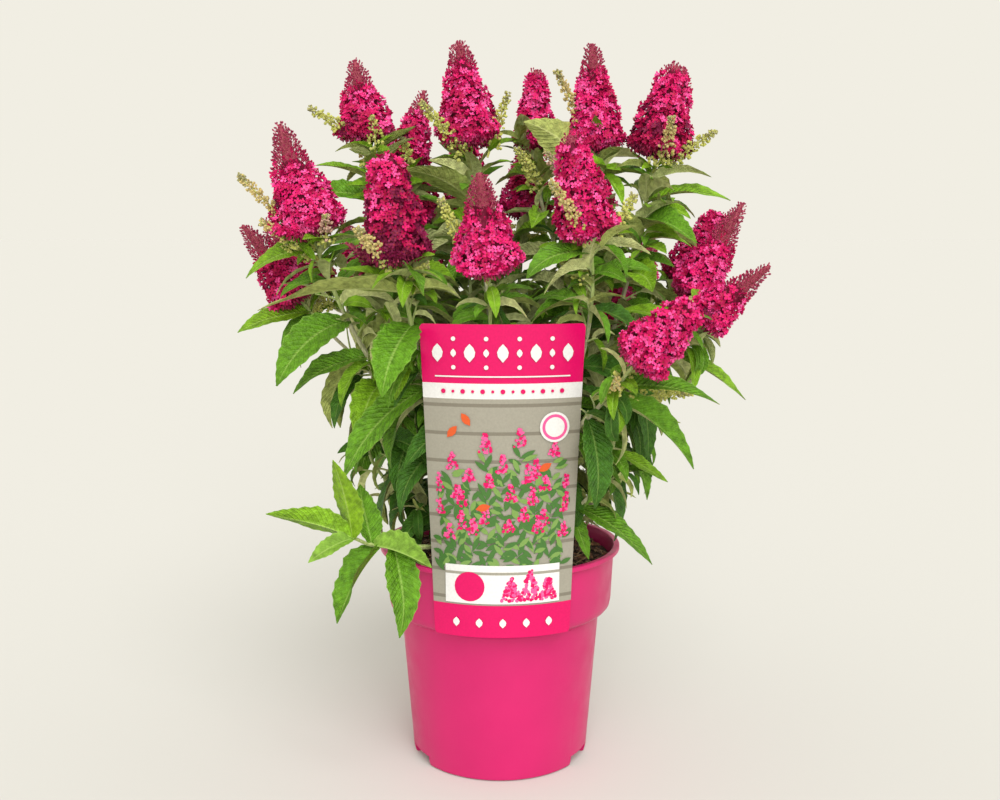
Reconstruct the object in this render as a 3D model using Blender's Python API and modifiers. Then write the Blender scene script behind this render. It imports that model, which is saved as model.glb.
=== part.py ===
"""A potted butterfly bush in flower: a round nursery pot filled with soil, a plant label of card that stands
at its rim, and a bush of many stems. Metres, +Z up. The origin is at the centre of the pot's flat underside,
and the label faces -Y.

The bush grows by one rule. A short stump carries one stub for each stem. A bare stem leads from its stub into
a mass, and in the mass the same curve runs on to a flower head. Side shoots leave that curve for the mass's
other heads, and opposite leaves stand along them all. A leaf that would touch another solid takes another
turn, or is left out, so each mass keeps to its own space.
"""

import math
import random

import bmesh
import bpy
from mathutils import Vector
from mathutils.bvhtree import BVHTree

MM = 0.001
CLEARANCE = 0.3 * MM

# The pot, a common 19 cm nursery size.
POT_HEIGHT = 170 * MM
LIP_RADIUS = 95 * MM
LIP_HEIGHT = 3.5 * MM
LIP_WIDTH = 4.5 * MM
BAND_TOP_RADIUS = 90.5 * MM
BAND_FOOT_RADIUS = 88.5 * MM
BAND_FOOT_HEIGHT = 127 * MM
BAND_UNDERCUT = 2.2 * MM
SHOULDER_RADIUS = 79 * MM
SHOULDER_HEIGHT = 116 * MM
BASE_RADIUS = 70 * MM
BASE_ROUNDING = 2.5 * MM
POT_WALL = 1.8 * MM
POT_FLOOR = 3 * MM
HEEL_RADIUS = 54 * MM
HEEL_HEIGHT = 11 * MM
NOTCH_HEIGHT = 8 * MM
NOTCH_INNER_RADIUS = 58 * MM
NOTCH_HALF_ANGLE = math.radians(12.5)
NOTCH_BEARINGS = [math.radians(angle) for angle in (-154, -26, 90)]
POT_SEGMENTS = 36

SOIL_TOP = 160 * MM
SOIL_SWELL = 1.5 * MM
SOIL_SEGMENTS = 18

# The label is a card bent round the front of the rim, a little to the right of the middle. It is flatter towards
# its top, and leans forward there.
LABEL_BOTTOM = 123 * MM
LABEL_TOP = 351 * MM
LABEL_BOTTOM_WIDTH = 104 * MM
LABEL_TOP_WIDTH = 119 * MM
LABEL_CORNER = 2.5 * MM
LABEL_ASIDE = 2 * MM
LABEL_THICKNESS = 0.8 * MM
LABEL_BOTTOM_BEND = LIP_RADIUS + 0.5 * MM
LABEL_TOP_BEND = 150 * MM
LABEL_LEAN = 18 * MM
LABEL_LEAN_FROM = 0.2
LABEL_COLUMNS = 10
LABEL_ROWS = 4

# The stump and the stubs that its stems and low shoots start from.
STUMP_RADIUS = 8 * MM
STUMP_FLARE = 4 * MM
STUMP_HEIGHT = 13 * MM
STUMP_SEGMENTS = 12
STUB_REACH = 19 * MM
STUB_LEVEL = SOIL_TOP + 8 * MM
STUB_RISE = math.radians(54)
STUB_RADIUS = 2.7 * MM
TOP_STUB_LENGTH = 26 * MM
LOW_STUB_LEVEL = SOIL_TOP + 5 * MM
LOW_STUB_RISE = math.radians(22)
LOW_STUB_RADIUS = 1.9 * MM

JOINT_STRAIGHT = 2.5 * MM
STEM_SHARE = 0.24
STEM_POINTS = 4
LEADER_POINTS = 7
SHOOT_POINTS = 5
LEADER_RADIUS = 2.1 * MM
SHOOT_RADIUS = 1.5 * MM
TWIG_TIP_RADIUS = 1.1 * MM
BOW_COUNTS = (0, 1, -1, 2, -2, 3, -3, 4, -4)
LEADER_BOW = 6 * MM
SHOOT_BOW = 8 * MM

HEAD_SIDES = 7
HEAD_RINGS = 6
HEAD_SINK = 9 * MM
SPIKE_GIRTH = 7 * MM

NODE_SPACING = 21 * MM
LEAF_LENGTH = 79 * MM
LEAF_WIDTH = 0.35
LEAF_KEEL = 0.02
LEAF_STATIONS = ((0.3, 1.0), (0.66, 0.84))
LEAF_MARGIN = 0.5 * MM
LEAF_ROOT_SHARE = 0.14
LOWEST_LEAF_TIP = SOIL_TOP + 8 * MM

# Leaves droop more, and stand out more from their twig, the further their root is below the first height.
DROOP_FROM = 440 * MM
DROOP_FULL = 340 * MM

# What a leaf without room tries in turn: degrees round its twig, degrees of its spread, and its size.
LEAF_TRIES = ((0, 0, 1), (22, 0, 1), (-22, 0, 1), (0, 18, 0.9), (0, -18, 0.9), (35, 10, 0.75), (-35, 10, 0.75))

# What a leaf that is placed by its tip tries in turn: degrees of droop and of roll that are added.
OUTLINE_TRIES = ((0, 0), (12, 15), (-12, -15), (20, 35), (0, -40))

# The crown's radius at each height, in millimetres. The leaves that grow by rule stay inside it.
CROWN = ((165, 92), (200, 108), (250, 132), (300, 158), (350, 178), (400, 186), (450, 168), (500, 124), (550, 60))

# Every flower head that faces the front: its mass, its foot and its tip, its girth, and the share of its
# length that is still in bud. The first head of a mass ends its leader. Places and sizes are in millimetres.
FRONT_HEADS = (
    ("crown_left", (-136, -50, 411), (-157, -62, 492), 54, 0.4),
    ("crown_left", (-154, -5, 362), (-195, -20, 421), 42, 0.5),
    ("crown_upper_left", (-102, 15, 484), (-112, 15, 547), 46, 0.4),
    ("crown_upper_left", (-76, 55, 468), (-61, 64, 530), 36, 0.35),
    ("crown_top", (-23, 25, 479), (-32, 25, 562), 49, 0.25),
    ("crown_front_left", (-69, -96, 393), (-78, -112, 467), 45, 0.0),
    ("crown_front", (-8, -98, 385), (-14, -116, 455), 48, 0.4),
    ("crown_upper_right", (75, 15, 475), (70, 10, 559), 45, 0.3),
    ("crown_upper_right", (28, 56, 480), (29, 60, 546), 34, 0.1),
    ("crown_front_right", (62, -90, 408), (47, -104, 480), 43, 0.1),
    ("crown_front_right", (68, 8, 340), (106, 16, 368), 34, 0.1),
    ("crown_far_right", (119, 0, 470), (134, 0, 541), 49, 0.12),
    ("crown_right", (141, -35, 363), (179, -40, 437), 40, 0.45),
    ("crown_right", (143, -76, 350), (189, -92, 392), 34, 0.5),
    ("crown_low_right", (90, -132, 327), (127, -150, 368), 40, 0.0),
)

# The heads of the back stand in two rings: reach and height of the foot, lean, first bearing, step, count.
BACK_RINGS = ((106, 428, 10, 48, 28, 4), (150, 366, 28, 14, 25.5, 7))
BACK_GIRTHS = (38, 48)
BACK_LENGTHS = (58, 76)
BACK_BUDS = (0.05, 0.3, 0.4, 0.45)

# Young green spikes beside the front heads: mass, foot and tip.
FRONT_SPIKES = (
    ("crown_upper_left", (-123, 0, 480), (-144, -5, 507)),
    ("crown_left", (-152, -58, 414), (-184, -70, 453)),
    ("crown_top", (-44, 0, 474), (-59, -12, 510)),
    ("crown_top", (-2, 30, 484), (4, 32, 523)),
    ("crown_front", (-38, -72, 398), (-42, -76, 437)),
    ("crown_front_left", (-78, -118, 378), (-94, -136, 416)),
    ("crown_upper_right", (52, 10, 492), (43, 4, 536)),
    ("crown_front_right", (36, -112, 410), (34, -126, 446)),
    ("crown_upper_right", (18, 20, 446), (13, 10, 478)),
    ("crown_far_right", (106, -28, 468), (124, -45, 496)),
    ("crown_far_right", (141, -15, 468), (160, -20, 488)),
    ("crown_low_right", (112, -84, 290), (136, -92, 302)),
)

# Leaves that stand out of the outline: mass, a place near the root, tip, droop in degrees, roll in degrees.
OUTLINE_LEAVES = (
    ("crown_left", (-139, -55, 405), (-187, -48, 382), 45, 10),
    ("crown_left", (-149, -15, 352), (-201, -20, 340), 20, -35),
    ("crown_left", (-105, -75, 345), (-157, -95, 307), 55, 15),
    ("crown_left", (-91, -55, 320), (-153, -62, 298), 40, -10),
    ("crown_front_left", (-75, -108, 366), (-162, -128, 362), 35, 5),
    ("crown_front_left", (-60, -80, 293), (-110, -98, 242), 50, 20),
    ("crown_front_left", (-49, -100, 345), (-80, -142, 306), 40, 0),
    ("crown_upper_left", (-104, 8, 452), (-142, 4, 466), 30, 0),
    ("crown_top", (-23, -10, 436), (-75, -28, 460), 45, 20),
    ("crown_far_right", (115, -10, 436), (174, -12, 437), 55, 0),
    ("crown_upper_right", (50, 10, 452), (20, -6, 500), 30, 30),
    ("crown_far_right", (88, -25, 424), (136, -62, 406), 60, -10),
    ("crown_right", (138, -50, 322), (180, -62, 291), 30, 10),
    ("crown_low_right", (105, -100, 309), (150, -118, 298), 35, -10),
    ("crown_low_right", (92, -90, 300), (133, -108, 248), 60, 0),
    ("shoots_low_right", (73, -50, 256), (123, -64, 230), 30, 0),
    ("shoots_low_right", (62, -48, 200), (110, -78, 172), 45, 10),
    ("shoots_low_right", (60, -50, 190), (66, -62, 172), 20, 0),
)

# Leafy shoots that leave the foot of the bush: mass, bearing, and the place of the shoot's end.
LOW_SHOOTS = (
    ("shoots_low_right", -38, (84, -62, 262)),
    ("shoots_low_front", -82, (6, -78, 268)),
    ("shoots_low_left", -150, (-92, -34, 272)),
    ("shoots_back_left", 150, (-96, 52, 266)),
    ("shoots_back", 96, (-14, 108, 258)),
    ("shoots_back_right", 32, (98, 66, 268)),
    ("shoots_left", 178, (-106, 4, 252)),
    ("shoots_right", -6, (108, -8, 254)),
)

# The bright young shoot that hangs over the rim at the left: the way of its stem, then the place near the root
# and the tip of each leaf, its droop and its roll.
YOUNG_SHOOT_BEARING = -124
YOUNG_SHOOT_STEM = ((-52, -70, 184), (-74, -92, 190), (-91, -102, 194), (-103, -112, 202))
YOUNG_SHOOT_LEAVES = (
    ((-103, -112, 202), (-163, -112, 217), 25, -60),
    ((-103, -112, 203), (-113, -126, 260), 14, 0),
    ((-91, -102, 194), (-104, -76, 232), 14, 0),
    ((-102, -112, 200), (-131, -131, 189), 35, 30),
    ((-90, -102, 194), (-48, -118, 181), 30, 55),
    ((-84, -99, 192), (-113, -116, 140), 40, 0),
    ((-76, -94, 190), (-65, -121, 133), 35, 0),
)
YOUNG_LEAF_BREADTH = 1.18

COLOURS = {
    "pot_plastic": ((0.77, 0.04, 0.19, 1), 0.42),
    "soil_bark": ((0.045, 0.026, 0.016, 1), 0.95),
    "label_card": ((0.95, 0.02, 0.15, 1), 0.35),
    "stem_bark": ((0.27, 0.24, 0.13, 1), 0.8),
    "leaf_green": ((0.10, 0.24, 0.03, 1), 0.55),
    "blossom_magenta": ((0.62, 0.012, 0.12, 1), 0.6),
    "spike_green": ((0.45, 0.45, 0.10, 1), 0.7),
}


def clear_scene():
    for thing in list(bpy.data.objects):
        bpy.data.objects.remove(thing, do_unlink=True)


def new_collection(name):
    collection = bpy.data.collections.new(name)
    bpy.context.scene.collection.children.link(collection)
    return collection


def principled(name):
    colour, roughness = COLOURS[name]
    material = bpy.data.materials.get(name) or bpy.data.materials.new(name)
    material.use_nodes = True
    shader = material.node_tree.nodes["Principled BSDF"]
    shader.inputs["Base Color"].default_value = colour
    shader.inputs["Roughness"].default_value = roughness
    shader.inputs["Metallic"].default_value = 0
    return material


def new_object(name, mesh, collection, finish):
    thing = bpy.data.objects.new(name, mesh)
    collection.objects.link(thing)
    mesh.materials.clear()
    mesh.materials.append(principled(finish))
    return thing


def mesh_of(name, corners, faces, edges=()):
    mesh = bpy.data.meshes.new(name)
    mesh.from_pydata(corners, edges, faces)
    mesh.update()
    return mesh


def place(values):
    """A point that is given in millimetres, in metres."""
    return Vector(values) * MM


def heading(bearing, rise):
    """The unit direction at this bearing from +X, and this angle above the ground."""
    return Vector((math.cos(bearing) * math.cos(rise), math.sin(bearing) * math.cos(rise), math.sin(rise)))


def across_of(direction):
    """A level direction at right angles to this one."""
    level = Vector((-direction.y, direction.x, 0))
    return level.normalized() if level.length > 0.05 else Vector((1, 0, 0))


def smooth_curve(start, start_way, end, end_way, count):
    """Points along the smooth curve that leaves start along one direction and reaches end along the other."""
    pull = (end - start).length
    points = []
    for i in range(count):
        t = i / (count - 1)
        a = 2 * t**3 - 3 * t**2 + 1
        b = t**3 - 2 * t**2 + t
        c = -2 * t**3 + 3 * t**2
        d = t**3 - t**2
        points.append(start * a + start_way * (pull * b) + end * c + end_way * (pull * d))
    return points


def bowed(points, side, bow):
    """The line pushed sideways in its middle."""
    last = len(points) - 1
    return [point + side * (bow * math.sin(math.pi * i / last)) for i, point in enumerate(points)]


def length_of(points):
    return sum((b - a).length for a, b in zip(points, points[1:]))


def along(points, distance):
    """The point at this distance along a line, and the line's direction there."""
    for a, b in zip(points, points[1:]):
        step = (b - a).length
        if distance <= step:
            break
        distance -= step
    way = (b - a).normalized()
    return (b if distance > step else a + way * distance), way


def part_of(points, low, high, count):
    """Points spread evenly by length between two shares of a line's whole length."""
    total = length_of(points)
    return [along(points, total * (low + (high - low) * i / (count - 1)))[0] for i in range(count)]


def nearest_on(lines, target):
    """The point on any of the lines that is nearest to the target, and the line's direction there."""
    best = None
    for points in lines:
        for a, b in zip(points, points[1:]):
            span = b - a
            share = min(1, max(0, (target - a).dot(span) / span.length_squared))
            found = a + span * share
            if best is None or (found - target).length < (best[0] - target).length:
                best = (found, span.normalized())
    return best


def joined_on(end, way, line):
    """The line, starting just clear of the limb that it grows on from, and straight on from it at first."""
    return [end + way * CLEARANCE, end + way * JOINT_STRAIGHT] + line[1:]


def ball(sides, rings):
    """The corners and faces of a coarse unit ball with its poles on Z, which leaves and heads are drawn from."""
    shape = bmesh.new()
    bmesh.ops.create_uvsphere(shape, u_segments=sides, v_segments=rings, radius=1)
    corners = [corner.co.copy() for corner in shape.verts]
    faces = [tuple(corner.index for corner in face.verts) for face in shape.faces]
    shape.free()
    return corners, faces


LEAF_BALL = ball(3, 3)
HEAD_BALL = ball(HEAD_SIDES, HEAD_RINGS)
SPIKE_BALL = ball(4, 4)


def ring_of(corner, rings):
    """Which ring of a ball the corner is on, counted from the pole below."""
    return round(math.acos(max(-1, min(1, -corner.z))) / math.pi * rings)


def square_tube(line, radius):
    """The corners and faces of an open square tube round a line, for testing whether a limb has room."""
    corners = []
    faces = []
    for i, point in enumerate(line):
        way = (line[min(i + 1, len(line) - 1)] - line[max(i - 1, 0)]).normalized()
        side = across_of(way) * radius
        other = way.cross(side)
        corners += [point + side, point + other, point - side, point - other]
        for k in range(4 if i else 0):
            a = 4 * (i - 1) + k
            b = 4 * (i - 1) + (k + 1) % 4
            faces.append((a, b, b + 4, a + 4))
    return corners, faces


def tube(name, points, first_radius, last_radius, roundness, collection):
    """A tapering limb: a curve with a bevel, made a mesh so that it can be joined."""
    curve = bpy.data.curves.new(name, "CURVE")
    curve.dimensions = "3D"
    curve.bevel_depth = MM
    curve.bevel_resolution = roundness
    curve.use_fill_caps = True
    spline = curve.splines.new("POLY")
    spline.points.add(len(points) - 1)
    for i, point in enumerate(points):
        share = i / (len(points) - 1)
        spline.points[i].co = (*point, 1)
        spline.points[i].radius = (first_radius * (1 - share) + last_radius * share) / MM
    guide = bpy.data.objects.new(name + "_curve", curve)
    bpy.context.scene.collection.objects.link(guide)
    mesh = evaluated_mesh(guide)
    bpy.data.objects.remove(guide, do_unlink=True)
    shape = bmesh.new()
    shape.from_mesh(mesh)
    bmesh.ops.remove_doubles(shape, verts=shape.verts, dist=0.01 * MM)
    bmesh.ops.recalc_face_normals(shape, faces=shape.faces)
    shape.to_mesh(mesh)
    shape.free()
    mesh.name = name
    return new_object(name, mesh, collection, "stem_bark")


def turned_object(name, profile, segments, collection, finish):
    """The solid that a profile in X and Z makes when it turns about Z. It runs down the outer side."""
    corners = [(radius, 0, height) for radius, height in profile]
    edges = [(i, i + 1) for i in range(len(profile) - 1)]
    thing = new_object(name, mesh_of(name, corners, (), edges), collection, finish)
    screw = thing.modifiers.new("turned", "SCREW")
    screw.axis = "Z"
    screw.steps = segments
    screw.render_steps = segments
    screw.use_merge_vertices = True
    screw.merge_threshold = 0.01 * MM
    return thing


def evaluated_mesh(thing):
    """The mesh that an object shows with its modifiers."""
    bpy.context.view_layer.update()
    return bpy.data.meshes.new_from_object(thing.evaluated_get(bpy.context.evaluated_depsgraph_get()))


def apply_modifiers(thing):
    mesh = evaluated_mesh(thing)
    thing.modifiers.clear()
    thing.data = mesh


def keep_one_body(thing):
    """Keeps the largest closed skin: what it seals inside is filled, and loose scraps are dropped."""
    shape = bmesh.new()
    shape.from_mesh(thing.data)
    left = set(shape.faces)
    skins = []
    while left:
        edge_of_skin = [left.pop()]
        skin = set(edge_of_skin)
        while edge_of_skin:
            face = edge_of_skin.pop()
            touching = {other for edge in face.edges for other in edge.link_faces} & left
            left -= touching
            skin |= touching
            edge_of_skin += touching
        skins.append(skin)
    largest = max(skins, key=len)
    scraps = [face for skin in skins if skin is not largest for face in skin]
    bmesh.ops.delete(shape, geom=scraps, context="FACES")
    shape.to_mesh(thing.data)
    shape.free()


def join_all(first, others, solver):
    """One union of an object with everything in a collection, which is then removed."""
    union = first.modifiers.new("joined", "BOOLEAN")
    union.operation = "UNION"
    union.operand_type = "COLLECTION"
    union.collection = others
    union.solver = solver
    union.material_mode = "TRANSFER"
    apply_modifiers(first)
    for thing in list(others.objects):
        bpy.data.objects.remove(thing, do_unlink=True)
    bpy.data.collections.remove(others)
    keep_one_body(first)


def pot_outline():
    """The pot's outer side, from the lip's inner edge down to the middle of the underside."""
    return [
        (LIP_RADIUS - LIP_WIDTH, POT_HEIGHT),
        (LIP_RADIUS - 0.8 * MM, POT_HEIGHT),
        (LIP_RADIUS, POT_HEIGHT - 0.8 * MM),
        (LIP_RADIUS, POT_HEIGHT - LIP_HEIGHT),
        (BAND_TOP_RADIUS, POT_HEIGHT - LIP_HEIGHT - 0.6 * MM),
        (BAND_FOOT_RADIUS, BAND_FOOT_HEIGHT),
        (BAND_FOOT_RADIUS - BAND_UNDERCUT, BAND_FOOT_HEIGHT - 6 * MM),
        (SHOULDER_RADIUS + 1.5 * MM, SHOULDER_HEIGHT + 1.2 * MM),
        (SHOULDER_RADIUS, SHOULDER_HEIGHT),
        (BASE_RADIUS, BASE_ROUNDING * 1.6),
        (BASE_RADIUS - BASE_ROUNDING, 0),
        (0, 0),
    ]


def hollow_outline(gap):
    """The inside of the pot from its floor up to its band, drawn in by a gap for what fills it."""
    wall = POT_WALL + gap
    return [
        (0, POT_FLOOR + gap),
        (HEEL_RADIUS - 4 * MM - gap, POT_FLOOR + gap),
        (HEEL_RADIUS - gap, HEEL_HEIGHT + gap),
        (BASE_RADIUS - BASE_ROUNDING - wall, HEEL_HEIGHT + 2.5 * MM + gap),
        (SHOULDER_RADIUS - wall, SHOULDER_HEIGHT + 0.8 * MM),
        (SHOULDER_RADIUS + 1.5 * MM - wall, SHOULDER_HEIGHT + 3 * MM),
        (BAND_FOOT_RADIUS - BAND_UNDERCUT - wall, BAND_FOOT_HEIGHT - 5 * MM),
        (BAND_FOOT_RADIUS - wall, BAND_FOOT_HEIGHT + 1.5 * MM),
    ]


def inner_radius_at(height, gap):
    """The inside radius of the band at this height, drawn in by a gap."""
    share = (height - BAND_FOOT_HEIGHT) / (POT_HEIGHT - LIP_HEIGHT - BAND_FOOT_HEIGHT)
    return BAND_FOOT_RADIUS + (BAND_TOP_RADIUS - BAND_FOOT_RADIUS) * share - POT_WALL - gap


def make_pot(parts, cutters):
    """A thin blow-moulded pot with a lip, a wide band, a tapering wall and three drain notches at its foot."""
    under_lip = POT_HEIGHT - LIP_HEIGHT
    inside = hollow_outline(0) + [(inner_radius_at(under_lip, 0), under_lip), (LIP_RADIUS - LIP_WIDTH, POT_HEIGHT)]
    pot = turned_object("pot", pot_outline() + inside, POT_SEGMENTS, parts, "pot_plastic")
    for bearing in NOTCH_BEARINGS:
        cut = pot.modifiers.new("notch", "BOOLEAN")
        cut.operation = "DIFFERENCE"
        cut.object = make_notch_cutter(bearing, cutters)
    return pot


def make_notch_cutter(bearing, cutters):
    """A wedge of a ring that cuts one drain notch out of the pot's foot."""
    shape = bmesh.new()
    bmesh.ops.create_cube(shape, size=1)
    for corner in shape.verts:
        radius = BASE_RADIUS + 6 * MM if corner.co.x > 0 else NOTCH_INNER_RADIUS
        angle = bearing + (NOTCH_HALF_ANGLE if corner.co.y > 0 else -NOTCH_HALF_ANGLE)
        height = NOTCH_HEIGHT if corner.co.z > 0 else -4 * MM
        corner.co = (radius * math.cos(angle), radius * math.sin(angle), height)
    mesh = bpy.data.meshes.new("notch_cutter")
    shape.to_mesh(mesh)
    shape.free()
    cutter = new_object("notch_cutter", mesh, cutters, "pot_plastic")
    cutter.hide_render = True
    cutter.display_type = "WIRE"
    return cutter


def make_soil(parts):
    """The soil fills the pot to just under the lip, with a low uneven swell on top."""
    edge = inner_radius_at(SOIL_TOP, CLEARANCE)
    top = [
        (0, SOIL_TOP),
        (edge * 0.35, SOIL_TOP + 0.2 * SOIL_SWELL),
        (edge * 0.72, SOIL_TOP - 0.4 * SOIL_SWELL),
        (edge, SOIL_TOP - SOIL_SWELL),
    ]
    return turned_object("potting_soil", top + hollow_outline(CLEARANCE)[::-1], SOIL_SEGMENTS, parts, "soil_bark")


def label_point(side, share):
    """A point of the card: side runs from -1 to 1 across it, and share from 0 to 1 up it."""
    width = LABEL_BOTTOM_WIDTH + (LABEL_TOP_WIDTH - LABEL_BOTTOM_WIDTH) * share
    height = LABEL_BOTTOM + (LABEL_TOP - LABEL_BOTTOM) * share
    rounding = LABEL_CORNER * max(0, (abs(side) - 0.8) / 0.2) ** 2
    if share < 0.01:
        height += rounding
    if share > 0.99:
        height -= rounding
    bend = LABEL_BOTTOM_BEND + (LABEL_TOP_BEND - LABEL_BOTTOM_BEND) * share**1.5
    angle = (side * width / 2 + LABEL_ASIDE) / bend
    centre = bend - LABEL_BOTTOM_BEND - LABEL_LEAN * max(0, share - LABEL_LEAN_FROM) ** 1.3
    return bend * math.sin(angle), centre - bend * math.cos(angle), height


def make_label(parts):
    """A tall card with round corners, wider at its top, bent round the front of the rim."""
    shape = bmesh.new()
    bmesh.ops.create_grid(shape, x_segments=LABEL_COLUMNS, y_segments=LABEL_ROWS, size=1)
    for corner in shape.verts:
        corner.co = label_point(corner.co.x, (corner.co.y + 1) / 2)
    mesh = bpy.data.meshes.new("plant_label")
    shape.to_mesh(mesh)
    shape.free()
    if mesh.polygons[0].normal.y > 0:
        mesh.flip_normals()
    label = new_object("plant_label", mesh, parts, "label_card")
    thickness = label.modifiers.new("card", "SOLIDIFY")
    thickness.thickness = LABEL_THICKNESS
    thickness.offset = 1
    return label


def make_stump(parts, stubs):
    """The woody foot of the bush: a short flared stump, cut flat on the soil, and a stub for each stem."""
    foot = SOIL_TOP + 0.2 * SOIL_SWELL + CLEARANCE
    profile = [
        (0, foot + STUMP_HEIGHT),
        (STUMP_RADIUS * 0.75, foot + STUMP_HEIGHT),
        (STUMP_RADIUS, foot + STUMP_HEIGHT * 0.8),
        (STUMP_RADIUS + STUMP_FLARE * 0.2, foot + STUMP_HEIGHT * 0.4),
        (STUMP_RADIUS + STUMP_FLARE, foot),
        (0, foot),
    ]
    stump = turned_object("stump", profile, STUMP_SEGMENTS, parts, "stem_bark")
    apply_modifiers(stump)
    others = new_collection("stubs")
    for stub in stubs.values():
        tube("stub", [stub["root"], stub["end"]], stub["radius"] * 1.1, stub["radius"], 1, others)
    join_all(stump, others, "EXACT")
    return stump


def back_heads():
    """The heads of the crown's back: a ring of leaders, and an outer ring that the nearest leaders carry."""
    rng = random.Random(11)
    rings = []
    for reach, height, lean, first, step, count in BACK_RINGS:
        ring = []
        for i in range(count):
            bearing = math.radians(first + step * i + rng.uniform(-4, 4))
            foot = Vector((reach * math.cos(bearing), reach * math.sin(bearing), height + rng.uniform(-14, 14)))
            girth = rng.uniform(*BACK_GIRTHS)
            length = rng.uniform(*BACK_LENGTHS)
            tilt = math.radians(90 - lean + rng.uniform(-7, 7))
            tip = foot + heading(bearing + math.radians(rng.uniform(-18, 18)), tilt) * length
            ring.append((bearing, tuple(foot), tuple(tip), girth, rng.choice(BACK_BUDS)))
        rings.append(ring)
    leaders, others = rings
    heads = [(f"crown_back_{i + 1}", *leader[1:]) for i, leader in enumerate(leaders)]
    for other in others:
        nearest = min(range(len(leaders)), key=lambda i: abs(leaders[i][0] - other[0]))
        heads.append((f"crown_back_{nearest + 1}", *other[1:]))
    return tuple(heads)


def plan_masses():
    """Each flowering mass with its heads, the one that ends its leader first."""
    masses = {}
    for mass, foot, tip, girth, bud in FRONT_HEADS + back_heads():
        head = {"foot": place(foot), "tip": place(tip), "girth": girth * MM, "bud": bud}
        head["way"] = (head["tip"] - head["foot"]).normalized()
        masses.setdefault(mass, []).append(head)
    return masses


def new_stub(level, way, length, radius):
    root = Vector((0, 0, level))
    return {"root": root, "end": root + way * length, "way": way, "radius": radius}


def plan_stubs(masses):
    """Where each stem starts: evenly round the stump in the order of the bearings, the top one in the middle."""
    bearings = {name: math.atan2(heads[0]["foot"].y, heads[0]["foot"].x) for name, heads in masses.items()}
    del bearings["crown_top"]
    ringed = sorted(bearings, key=bearings.get)
    step = 2 * math.pi / len(ringed)
    turn = sum(bearings[name] - step * i for i, name in enumerate(ringed)) / len(ringed)
    stubs = {}
    for i, name in enumerate(ringed):
        way = heading(turn + step * i, STUB_RISE)
        stubs[name] = new_stub(STUB_LEVEL, way, STUB_REACH / math.cos(STUB_RISE), STUB_RADIUS)
    stubs["crown_top"] = new_stub(STUB_LEVEL, Vector((0, 0, 1)), TOP_STUB_LENGTH, STUB_RADIUS)
    for name, bearing in [shoot[:2] for shoot in LOW_SHOOTS] + [("young_shoot", YOUNG_SHOOT_BEARING)]:
        way = heading(math.radians(bearing), LOW_STUB_RISE)
        stubs[name] = new_stub(LOW_STUB_LEVEL, way, STUB_REACH / math.cos(LOW_STUB_RISE), LOW_STUB_RADIUS)
    return stubs


def box_of(corners):
    low = [min(corner[k] for corner in corners) for k in range(3)]
    high = [max(corner[k] for corner in corners) for k in range(3)]
    return low, high


class Room:
    """What is already built, so that a new leaf or twig can be kept clear of it."""

    def __init__(self):
        self.taken = []

    def add(self, owner, kind, corners, faces):
        low, high = box_of(corners)
        self.taken.append((owner, kind, low, high, BVHTree.FromPolygons(corners, faces)))

    def add_object(self, thing):
        mesh = evaluated_mesh(thing)
        corners = [corner.co.copy() for corner in mesh.vertices]
        self.add(thing.name, "made", corners, [tuple(face.vertices) for face in mesh.polygons])
        bpy.data.meshes.remove(mesh)

    def is_free(self, owner, corners, faces, own_kinds=()):
        """True where the shape cuts nothing of another owner, and none of these kinds of its own owner."""
        low, high = box_of(corners)
        tree = None
        for other_owner, kind, other_low, other_high, other_tree in self.taken:
            if other_owner == owner and kind not in own_kinds:
                continue
            if any(low[k] > other_high[k] or high[k] < other_low[k] for k in range(3)):
                continue
            tree = tree or BVHTree.FromPolygons(corners, faces)
            if tree.overlap(other_tree):
                return False
        return True

    def clear_line(self, owner, line, step, radius):
        """The line, bowed to one side or the other by as many steps as it takes to pass clear of the rest."""
        side = across_of(line[-1] - line[0])
        for count in BOW_COUNTS:
            bent = bowed(line, side, count * step)
            if self.is_free(owner, *square_tube(bent[1:], radius + 2 * CLEARANCE)):
                return bent
        return line


class Bush:
    """What has grown so far, mass by mass, and the room that is left for more."""

    def __init__(self):
        self.heads = plan_masses()
        self.stubs = plan_stubs(self.heads)
        self.room = Room()
        self.stems = {}
        self.twigs = {}
        self.leaves = {name: [] for name in self.stubs}
        self.spikes = {name: [] for name in self.stubs}

    def add_twig(self, name, line, radius, head=None):
        self.room.add(name, "twig", *square_tube(line, radius))
        self.twigs.setdefault(name, []).append({"line": line, "radius": radius, "head": head})

    def add_leaf(self, name, leaf):
        self.room.add(name, "leaf", leaf_corners(leaf), LEAF_BALL[1])
        self.leaves[name].append(leaf)

    def add_spike(self, name, root, tip):
        """A young spike, left out where it would cut another mass."""
        spike = {"root": root, "tip": tip}
        if self.room.is_free(name, spike_corners(spike), SPIKE_BALL[1]):
            self.room.add(name, "spike", spike_corners(spike), SPIKE_BALL[1])
            self.spikes[name].append(spike)

    def lines(self, name):
        return [twig["line"] for twig in self.twigs[name]]

    def fits(self, name, leaf):
        """True where the leaf is clear of all other masses, and of its own mass's heads and leaves."""
        wide = leaf_corners(leaf, 0, LEAF_MARGIN)
        if not self.room.is_free(name, wide, LEAF_BALL[1], ("head",)):
            return False
        return self.room.is_free(name, leaf_corners(leaf, LEAF_ROOT_SHARE), LEAF_BALL[1], ("head", "leaf"))


def leaf_frame(way, outward):
    """The direction a leaf droops towards and the one it lies across, for the way its midrib starts."""
    down = Vector((0, 0, -1)) + outward * 0.35
    down -= way * down.dot(way)
    down.normalize()
    return down, way.cross(down).normalized()


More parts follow.
